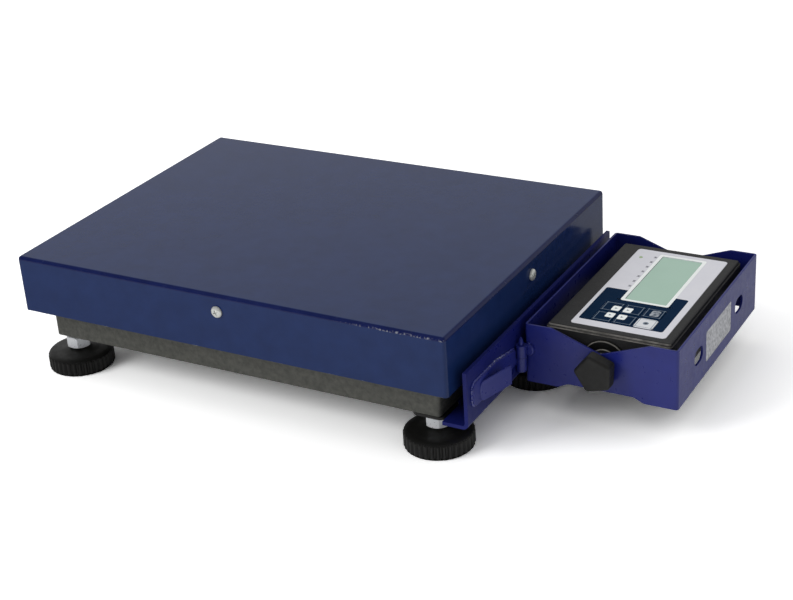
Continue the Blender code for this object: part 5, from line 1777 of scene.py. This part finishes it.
@dataclass
class Indicator:
    """The tilting indicator: housing, printed foil, display, keys, pivot discs and gland.

    Places on its face are measured from the pivot.
    """

    upper: Box
    lower: Box
    foil: Box
    pivot: Vector
    key_box: Box
    module: Box
    discs: dict[str, Box]
    wall: float = 0.0025
    side_round: float = 0.0035
    ledge_drop: float = 0.0025
    ledge_width: float = 0.0013
    ledge_round: float = 0.0008
    top_round: float = 0.0016
    highlight_width: float = 0.0032
    highlight_slopes: Pair = (-0.25, 0.15)
    lower_round: float = 0.0016
    lower_inset: float = 0.003
    lower_taper: float = 0.0006
    recess: float = 0.0009
    foil_corner: float = 0.003
    clearance: float = 0.0003
    pivot_hole: float = 0.0043
    gland_hole: float = 0.0063
    window_centre: Pair = (0.00825, 0.0225)
    window_size: Pair = (0.0345, 0.086)
    window_corner: float = 0.001
    frame_width: float = 0.0028
    field_low: Pair = (-0.030, -0.0645)
    field_high: Pair = (0.039, -0.0055)
    print_corner: float = 0.002
    key_rows: tuple[float, float, float] = (0.02215, 0.0050, -0.01215)
    key_columns: Pair = (-0.0374, -0.0554)
    key_size: float = 0.0155
    key_corner: float = 0.002
    key_margin: float = 0.0007
    key_line: float = 0.0005
    key_line_reach: Pair = (0.00615, 0.00685)
    target_radii: Pair = (0.0023, 0.0012)
    target_sides: tuple[int, int] = (20, 16)
    blot_half: Pair = (0.0036, 0.0048)
    blot_corner: float = 0.0016
    pad_half: Pair = (0.0034, 0.0040)
    pad_corner: float = 0.0012
    tick_reach: Pair = (-0.0010, 0.0012)
    tick_half: float = 0.0012
    mark_count: int = 7
    mark_start: Pair = (-0.0140, 0.0612)
    mark_pitch: float = 0.0097
    stroke_pitch: float = 0.0010
    stroke_half: float = 0.0003
    stroke_corner: float = 0.00025
    stroke_reach: Pair = (0.0008, 0.0013)
    bar_width: float = 0.0013
    bar_reach: float = 0.0027
    bar_corner: float = 0.0004
    lamp_place: Pair = (-0.0255, 0.0575)
    lamp_profile: tuple[Pair, ...] = (
        (0.0, 0.0005), (0.0008, 0.00045), (0.0014, 0.0003), (0.0016, 0.0), (0.0, 0.0),
    )
    disc_radius: float = 0.018
    disc_sheet: float = 0.0026
    disc_round: float = 0.0013
    disc_highlight_slopes: Pair = (0.2, 0.96)
    boss_radius: float = 0.0107

    def spot(self, x: float, y: float) -> Pair:
        """A place on the indicator's face, measured from the pivot."""
        return self.pivot.x + x, self.pivot.y + y

    def keys(self) -> list[Key]:
        """The six keys, by the reader's rows and columns.

        Returns:
            The keys.
        """
        top, middle, bottom = self.key_rows
        left, right = self.key_columns
        return [
            Key("top_left", self.spot(top, left), PRINT_NAVY, KeyMark.BLOT, (0.0010, 0.0)),
            Key("top_right", self.spot(top, right), PRINT_WHITE, KeyMark.TARGET, (0.0, 0.0)),
            Key("middle_left", self.spot(middle, left), PRINT_NAVY, KeyMark.PAD, (-0.0036, -0.0020)),
            Key("middle_right", self.spot(middle, right), PRINT_NAVY, KeyMark.PAD, (-0.0036, 0.0032)),
            Key("bottom_left", self.spot(bottom, left), PRINT_NAVY, KeyMark.PAD, (0.0038, -0.0020)),
            Key("bottom_right", self.spot(bottom, right), PRINT_NAVY, KeyMark.PAD, (0.0036, 0.0036)),
        ]

    def key_outline(self, centre: Point, growth: float = 0.0) -> Outline:
        """A key's rounded square, grown by a margin."""
        half = self.key_size / 2 + growth
        return pad(centre, (half, half), self.key_corner + growth)

    def window(self, growth: float = 0.0) -> tuple[Pair, Pair]:
        """Corners of the display window.

        Args:
            growth: margin on every side.

        Returns:
            The lower and the upper corner.
        """
        x, y = self.spot(*self.window_centre)
        half_x, half_y = self.window_size[0] / 2 + growth, self.window_size[1] / 2 + growth
        return (x - half_x, y - half_y), (x + half_x, y + half_y)

    def window_tool(self, low: float, high: float) -> Piece:
        """A tool that cuts the display window."""
        outline = rounded(*self.window(), self.window_corner, steps=3)
        return Piece.flat("window", outline, Plane.XY, low, high)

    def face_holes(self, low: float, high: float) -> list[Piece]:
        """Tools that cut the window and the key openings.

        Args:
            low: height of their lower ends.
            high: height of their upper ends.

        Returns:
            The tools.
        """
        tools = [self.window_tool(low, high)]
        for key in self.keys():
            outline = self.key_outline(key.centre, self.clearance)
            tools.append(Piece.flat("opening", outline, Plane.XY, low, high))
        return tools

    def build_upper(self) -> None:
        """Moulds the upper shell with its foil recess, window and key openings."""
        low, high = self.upper
        ledge, top = high.z - self.ledge_drop, high.z - self.clearance
        rim = self.ledge_width / 2
        shell = Piece.block("upper_shell", low, (high.x, high.y, ledge))
        shell.round_over(upright, self.side_round, steps=8)
        shell.raise_top(self.ledge_width, self.ledge_drop)

        def on_ledge(spot: Vector, along: Vector) -> bool:
            """True for an edge round the outside of the ledge."""
            inside = low.x + rim < spot.x < high.x - rim and low.y + rim < spot.y < high.y - rim
            return abs(spot.z - ledge) < self.clearance and not inside and abs(along.z) < 1 - ALONG

        shell.round_over(lambda spot, along: spot.z > top, self.top_round, steps=5)
        shell.round_over(on_ledge, self.ledge_round, steps=3)
        wall, margin, open_below = self.wall, self.clearance, Vector((0, 0, 2 * self.wall))
        inner = Vector((wall, wall, wall))
        shell.cut(Piece.block("cavity", low + inner - open_below, high - inner))
        foil_low, foil_high = self.foil
        corner = (foil_low.x - margin, foil_low.y - margin)
        far = (foil_high.x + margin, foil_high.y + margin)
        outline, floor = rounded(corner, far, self.foil_corner), high.z - self.recess
        shell.cut(Piece.flat("recess", outline, Plane.XY, floor, high.z + wall))
        shell.cut(*self.face_holes(high.z - 2 * wall, high.z))
        shell.break_edges().smooth().paint(HOUSING_CHARCOAL)
        lip = ledge - self.ledge_round
        forward, upward = self.highlight_slopes

        def on_front_edge(spot: Vector, normal: Vector) -> bool:
            """True for a rounded face along the front of the ledge and the top."""
            tilted = normal.y < forward and normal.z > upward
            return tilted and lip < spot.z < top and spot.y < low.y + self.highlight_width

        # The rounded front edges of the ledge and the top get a painted highlight.
        shell.paint_faces(HOUSING_HIGHLIGHT, on_front_edge)
        shell.set_on("indicator", "charcoal_plastic", "indicator_upper")

    def build_lower(self) -> None:
        """Moulds the tapered lower shell."""
        low, high = self.upper
        bottom, top = self.lower[0].z, self.lower[1].z
        spare, past = top + self.wall, 2 * self.wall
        corner = (low.x + self.lower_inset, low.y, bottom)
        shell = Piece.block("lower_shell", corner, (high.x - self.lower_inset, high.y, spare))
        middle = (low.x + high.x) / 2
        for vert in shell.thing.data.vertices:
            if vert.co.z < bottom + self.clearance:
                vert.co.x += self.lower_taper if vert.co.x < middle else -self.lower_taper
        shell.open_towards((0, 0, 1))
        shell.round_over(lambda spot, along: spot.z < top, self.lower_round, steps=6)
        shell.sheet(self.wall)
        x, z, lead = self.pivot.x, self.pivot.z, self.lead_place()
        start, end = low.y - past, high.y + past
        shell.cut(
            Piece.block("trim", (low.x, start, top), (high.x, end, spare + past)),
            Piece.bar("bore", (x, start, z), (x, end, z), self.pivot_hole),
            Piece.post("drill", lead, lead.z - past, lead.z + past, self.gland_hole),
        )
        shell.break_edges(BROAD_BREAK).smooth().paint(HOUSING_CHARCOAL)
        shell.set_on("indicator", "charcoal_plastic", "indicator_lower")

    def lead_place(self) -> Vector:
        """Where the lead's gland sits under the lower shell."""
        low, high = self.upper
        return Vector(((low.x + high.x) / 2, self.pivot.y + (high.y - low.y) / 4, self.lower[0].z))

    @staticmethod
    def print_on(name: str, outline: Outline, level: float, finish: Finish) -> Piece:
        """A thin painted print on a level face."""
        return Piece.flat(name, outline, Plane.XY, level, level + PRINT_LIFT).paint(finish)

    def build_foil(self) -> None:
        """Cuts the foil and lays its prints on it."""
        low, high = self.foil
        level, over = high.z, high.z + self.wall
        foil = Piece.flat("face_foil", rounded(low, high, self.foil_corner), Plane.XY, low.z, level)
        foil.cut(*self.face_holes(low.z - self.wall, over))
        foil.paint(FOIL).set_on("indicator", "foil", "overlay")
        outline = rounded(self.spot(*self.field_low), self.spot(*self.field_high), self.print_corner)
        navy = self.print_on("key_field", outline, level, PRINT_NAVY)
        navy.cut(*self.face_holes(level - self.wall, over)).set_on("indicator", "navy_key")
        corner, far = self.window(self.frame_width)
        outline = rounded(corner, far, self.print_corner)
        frame = Piece.flat("window_frame", outline, Plane.XY, level, level + 2 * PRINT_LIFT)
        frame.cut(self.window_tool(low.z, over))
        near, end = corner[0] - self.bar_reach, far[0] + self.bar_reach
        outline = rounded((near, corner[1]), (end, corner[1] + self.bar_width), self.bar_corner, steps=2)
        bar = Piece.flat("bar", outline, Plane.XY, level + PRINT_LIFT / 3, level + PRINT_LIFT)
        frame.join(bar).paint(PRINT_BRIGHT).set_on("indicator", "white_key")
        self.build_marks(level)
        place = (*self.spot(*self.lamp_place), level)
        lamp = Piece.turned("status_lamp", self.lamp_profile, steps=20, foot=place)
        lamp.smooth().paint(LAMP_GREEN).set_on("indicator", "display")

    def build_marks(self, level: float) -> None:
        """Lays the small marks beside the display.

        Args:
            level: height of the foil's face.
        """
        strokes = []
        short, tall = self.stroke_reach
        for step in range(self.mark_count):
            x, middle = self.spot(self.mark_start[0], self.mark_start[1] - step * self.mark_pitch)
            for part in (-1, 0, 1):
                half = (tall if part else short, self.stroke_half)
                outline = pad((x, middle + part * self.stroke_pitch), half, self.stroke_corner, steps=2)
                strokes.append(self.print_on("annunciator_marks", outline, level, PRINT_DARK))
        strokes[0].join(*strokes[1:]).set_on("indicator", "navy_key")

    def build_display(self) -> None:
        """Builds the display module with its face up in the window."""
        low, high = self.module
        corner, far = self.window(-self.clearance)
        margin, rise = (high.x - low.x - far[0] + corner[0]) / 2, self.foil[1].z - self.clearance - high.z
        display = Piece.block("display_module", low, high).raise_top(margin, rise)
        display.break_edges(SMALL_BREAK).smooth().paint(DISPLAY_GREEN)
        display.set_on("indicator", "display", "lcd_module")

    def build_keys(self) -> None:
        """Moulds each key with a printed line and mark."""
        low, high = self.key_box
        top = high.z - self.clearance / 2
        inner, outer = self.key_line_reach
        for key in self.keys():
            x, y = key.centre
            cap = Piece.flat(f"key_cap_{key.name}", self.key_outline(key.centre), Plane.XY, low.z, high.z)
            cap.round_over(lambda spot, along: spot.z > top, FINE_BREAK, steps=2)
            cap.paint(key.cap)
            cap.select(Pick.FACE, self.on_top)
            bpy.ops.mesh.inset(thickness=self.key_margin, depth=0.0)
            bpy.ops.mesh.inset(thickness=self.key_line, depth=0.0)

            def on_line(spot: Vector, normal: Vector) -> bool:
                """True for a face of the printed line round the key's edge."""
                reach = max(abs(spot.x - x), abs(spot.y - y))
                return self.on_top(spot, normal) and inner < reach < outer

            cap.paint_faces(PRINT_GREY, on_line)
            cap.join(*self.key_marks(key.mark, (x + key.shift[0], y + key.shift[1]), high.z))
            cap.smooth().set_on(f"key_{key.name}", key.mark.value, f"key_{key.name}")

    @staticmethod
    def on_top(spot: Vector, normal: Vector) -> bool:
        """True for a face that looks straight up."""
        return normal.z > STRAIGHT_ALONG

    def key_marks(self, mark: KeyMark, centre: Point, level: float) -> list[Piece]:
        """The generic mark printed on a key.

        Args:
            mark: which mark.
            centre: middle of the mark.
            level: height of the key's top.

        Returns:
            The pieces of the mark, from the lowest.
        """
        (x, y), (back, front) = centre, self.tick_reach
        tick = [(x + back, y - self.tick_half), (x + front, y), (x + back, y + self.tick_half)]
        ring, dot = (polygon(centre, r, sides) for r, sides in zip(self.target_radii, self.target_sides))
        layers = {
            KeyMark.TARGET: ((ring, PRINT_GREY), (dot, PRINT_DARK)),
            KeyMark.BLOT: ((pad(centre, self.blot_half, self.blot_corner), PRINT_BLOT),),
            KeyMark.PAD: ((pad(centre, self.pad_half, self.pad_corner), PRINT_BRIGHT), (tick, PRINT_GREY)),
        }
        return [
            self.print_on("mark", outline, level + number * PRINT_LIFT, finish)
            for number, (outline, finish) in enumerate(layers[mark])
        ]

    def build_discs(self) -> None:
        """Turns the friction discs with their raised bosses."""
        r, boss, sheet, soft = self.disc_radius, self.boss_radius, self.disc_sheet, self.disc_round
        steep, level = self.disc_highlight_slopes
        for name, (low, high) in self.discs.items():
            thickness = high.y - low.y
            profile = [
                (self.pivot_hole, thickness),
                *reversed(arc((boss - soft, thickness - soft), soft, 0.0, QUARTER_TURN, steps=4)),
                (boss, sheet + soft / 2),
                (boss + soft / 2, sheet),
                *reversed(arc((r - soft, sheet - soft), soft, 0.0, QUARTER_TURN, steps=4)),
                (r, 0.0),
                (self.pivot_hole, 0.0),
            ]
            outward, foot = (-1.0, high.y) if name == "front" else (1.0, low.y)
            place = (self.pivot.x, foot, self.pivot.z)
            disc = Piece.turned(f"friction_disc_{name}", profile, steps=64, foot=place, axis=(0, outward, 0))
            disc.smooth().paint(FOOT_BLACK)
            # The discs' rounded rims get a painted highlight.
            disc.paint_faces(HOUSING_HIGHLIGHT, lambda spot, normal: steep < abs(normal.y) < level)
            disc.set_on("indicator", "black_plastic", f"pivot_disc_{name}")

    def build(self) -> None:
        """Builds every piece of the indicator."""
        self.build_upper()
        self.build_lower()
        self.build_foil()
        self.build_display()
        self.build_keys()
        self.build_discs()
        down = Vector((0, 0, -1))
        Gland().build("indicator_lead_gland", self.lead_place(), down, "indicator", "indicator_gland")


@dataclass
class InnerWorks:
    """Finishes for the CAD nodes that stay as they are, by the starts of their names."""

    nodes: dict[str, bpy.types.Object]
    finishes: tuple[tuple[Finish, tuple[str, ...]], ...] = (
        (RUBBER, ("pan_pad",)),
        (ZINC, ("cell_bolt", "overload_stop", "knob_stud", "pan_screw", "foot_stud", "hinge_pin")),
        (RAW_STEEL, ("cell_spacer", "upper_frame")),
        (ALUMINIUM, ("load_cell",)),
        (BOARD_GREEN, ("circuit_board",)),
    )

    def build(self) -> None:
        """Dresses each CAD node, in black where it has no finish of its own."""
        for name, node in self.nodes.items():
            fitting = (finish for finish, starts in self.finishes if name.startswith(starts))
            node.data.materials.clear()
            node.data.materials.append(next(fitting, FOOT_BLACK).material())


@dataclass
class Studio:
    """Pale floor, soft light and the camera of the photograph, about the pan's centre."""

    centre: Vector
    floor_size: float = 30.0
    floor_level: float = -0.0002
    floor_tone: Pair = (0.62, 1.0)
    floor_fade: Point = (0.8, -1.0, 0.0)
    floor_span: Pair = (-0.05, 0.30)
    floor_seen: float = 1.5
    sky: float = 0.72
    ceiling_from: Pair = (0.50, 0.72)
    ceiling_tone: float = 0.20
    front_from: Pair = (-0.15, 0.25)
    front_to: Pair = (0.08, 0.68)
    light_place: Point = (-1.2, -1.5, 1.2)
    light_size: float = 1.2
    light_power: float = 24.0
    image_width: int = 793
    focal_pixels: float = 1645.07
    sensor: float = 36.0
    sight: Pair = (0.05, 60.0)
    yaw: float = math.radians(-30.5)
    pitch: float = math.radians(25.88)
    roll: float = math.radians(-3.97)
    station: Point = (0.7060, -1.0726, 0.6533)

    def build_floor(self) -> None:
        """Lays a floor that shows white with a soft shadow, and lights the object less from the back."""
        Piece.clear_bench()
        bpy.ops.mesh.primitive_plane_add(size=self.floor_size, location=(0, 0, self.floor_level))
        floor = bpy.context.active_object
        floor.name = "studio_floor"
        material = bpy.data.materials.new("studio_floor")
        nodes = Nodes(material)
        rays = nodes.add("ShaderNodeLightPath").outputs
        spot = nodes.add("ShaderNodeTexCoord").outputs["Object"]
        shaded = nodes.mapped(nodes.dot(spot, self.floor_fade), self.floor_span, self.floor_tone)
        tone = nodes.mapped(rays["Is Camera Ray"], (0.0, 1.0), (shaded, self.floor_seen))
        paper = nodes.add("ShaderNodeBsdfDiffuse", Color=tone)
        nodes.feed(nodes.tree.nodes["Material Output"].inputs["Surface"], paper.outputs["BSDF"])
        nodes.tree.nodes.remove(nodes.tree.nodes["Principled BSDF"])
        floor.data.materials.append(material)

    def build_world(self) -> None:
        """Sets a white surround whose ceiling and near side are darker in reflections."""
        world = bpy.data.worlds.new("studio")
        nodes = Nodes(world)
        rays = nodes.add("ShaderNodeLightPath").outputs
        place = nodes.add("ShaderNodeTexCoord")
        parts = nodes.add("ShaderNodeSeparateXYZ", Vector=place.outputs["Generated"]).outputs
        front = nodes.mapped(parts["Y"], self.front_from, self.front_to)
        mirrored = nodes.mapped(parts["Z"], self.ceiling_from, (front, self.ceiling_tone))
        lit = nodes.add("ShaderNodeMix", Factor=rays["Is Glossy Ray"], A=self.sky, B=mirrored)
        seen = nodes.add("ShaderNodeMix", Factor=rays["Is Camera Ray"], A=lit.outputs["Result"], B=1.0)
        back = nodes.tree.nodes["Background"].inputs
        nodes.feed(back["Color"], (1.0, 1.0, 1.0, 1.0))
        nodes.feed(back["Strength"], seen.outputs["Result"])
        bpy.context.scene.world = world

    def build_light(self) -> None:
        """Hangs one soft box that doesn't show in reflections."""
        lamp = bpy.data.lights.new("key_box", "AREA")
        lamp.shape = "SQUARE"
        lamp.size = self.light_size
        lamp.energy = self.light_power
        holder = bpy.data.objects.new("key_box", lamp)
        holder.location = self.light_place
        holder.rotation_euler = (self.centre - Vector(self.light_place)).to_track_quat("-Z", "Y").to_euler()
        holder.visible_glossy = False
        bpy.context.scene.collection.objects.link(holder)

    def build_camera(self) -> None:
        """Sets the camera where the photograph was taken."""
        heading = Matrix.Rotation(-self.yaw, 4, "Z") @ Matrix.Rotation(QUARTER_TURN - self.pitch, 4, "X")
        lens = bpy.data.cameras.new("photo_camera")
        lens.sensor_width = self.sensor
        lens.lens = self.focal_pixels / self.image_width * self.sensor
        lens.clip_start, lens.clip_end = self.sight
        camera = bpy.data.objects.new("photo_camera", lens)
        place = Matrix.Translation(Vector(self.station) + self.centre)
        camera.matrix_world = place @ heading @ Matrix.Rotation(self.roll, 4, "Z")
        bpy.context.scene.collection.objects.link(camera)
        bpy.context.scene.camera = camera

    def build(self) -> None:
        """Builds the studio."""
        self.build_floor()
        self.build_world()
        self.build_light()
        self.build_camera()
        bpy.context.scene.view_settings.view_transform = "Standard"


def middle_of(node: str) -> Vector:
    """Middle of a CAD node's box."""
    low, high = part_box(node)
    return (low + high) / 2


def build_platform() -> None:
    """Builds the pan, base, feet and side bracket."""
    corners = ("front_left", "front_right", "back_left", "back_right")
    studs = {name: middle_of(f"foot_stud_{name}") for name in (*corners, "support")}
    WeighingPan(*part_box("pan")).build()
    base_low, base_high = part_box("base_frame")
    beam_low, beam_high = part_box("base_beam")
    bolts = [middle_of(f"cell_bolt_lower_{row}") for row in ("front", "back")]
    gland = middle_of("base_gland")
    ChannelBase(
        base_low,
        base_high,
        beam_low,
        beam_high,
        stud_places=[studs[name] for name in corners],
        stop_places=[middle_of(f"overload_stop_{name}") for name in corners],
        bolt_places=[Vector((bolt.x, bolt.y, beam_high.z)) for bolt in bolts],
        gland_place=Vector((base_high.x, gland.y, gland.z)),
    ).build()
    tops = {name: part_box(f"foot_stud_{name}")[1].z for name in studs}
    LevellingFoot({name: (Vector((*spot.xy, 0.0)), tops[name]) for name, spot in studs.items()}).build()
    SideBracket(*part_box("side_bracket"), studs["front_right"], studs["support"]).build()


def build_head() -> None:
    """Builds the hinge, the indicator bracket, the knobs and the indicator."""
    pivot = middle_of("knob_stud_front")
    bracket_low, bracket_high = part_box("indicator_bracket")
    pivot.y = (bracket_low.y + bracket_high.y) / 2
    LiftOffHinge(middle_of("hinge_pin"), *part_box("hinge_leaf_fixed")).build()
    IndicatorBracket(bracket_low, bracket_high, pivot).build()
    TiltKnobs(pivot, (bracket_high.y - bracket_low.y) / 2).build()
    Indicator(
        upper=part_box("indicator_upper"),
        lower=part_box("indicator_lower"),
        foil=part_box("overlay"),
        pivot=pivot,
        key_box=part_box("key_top_left"),
        module=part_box("lcd_module"),
        discs={name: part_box(f"pivot_disc_{name}") for name in ("front", "back")},
    ).build()


def main() -> None:
    """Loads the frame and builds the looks."""
    logging.basicConfig(level=logging.INFO, format="%(name)s: %(message)s")
    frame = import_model()
    pan = middle_of("pan")
    InnerWorks(frame["nodes"]).build()
    build_platform()
    build_head()
    Studio(Vector((pan.x, pan.y, 0.0))).build()
    Piece.clear_bench()


if __name__ == "__main__":
    main()
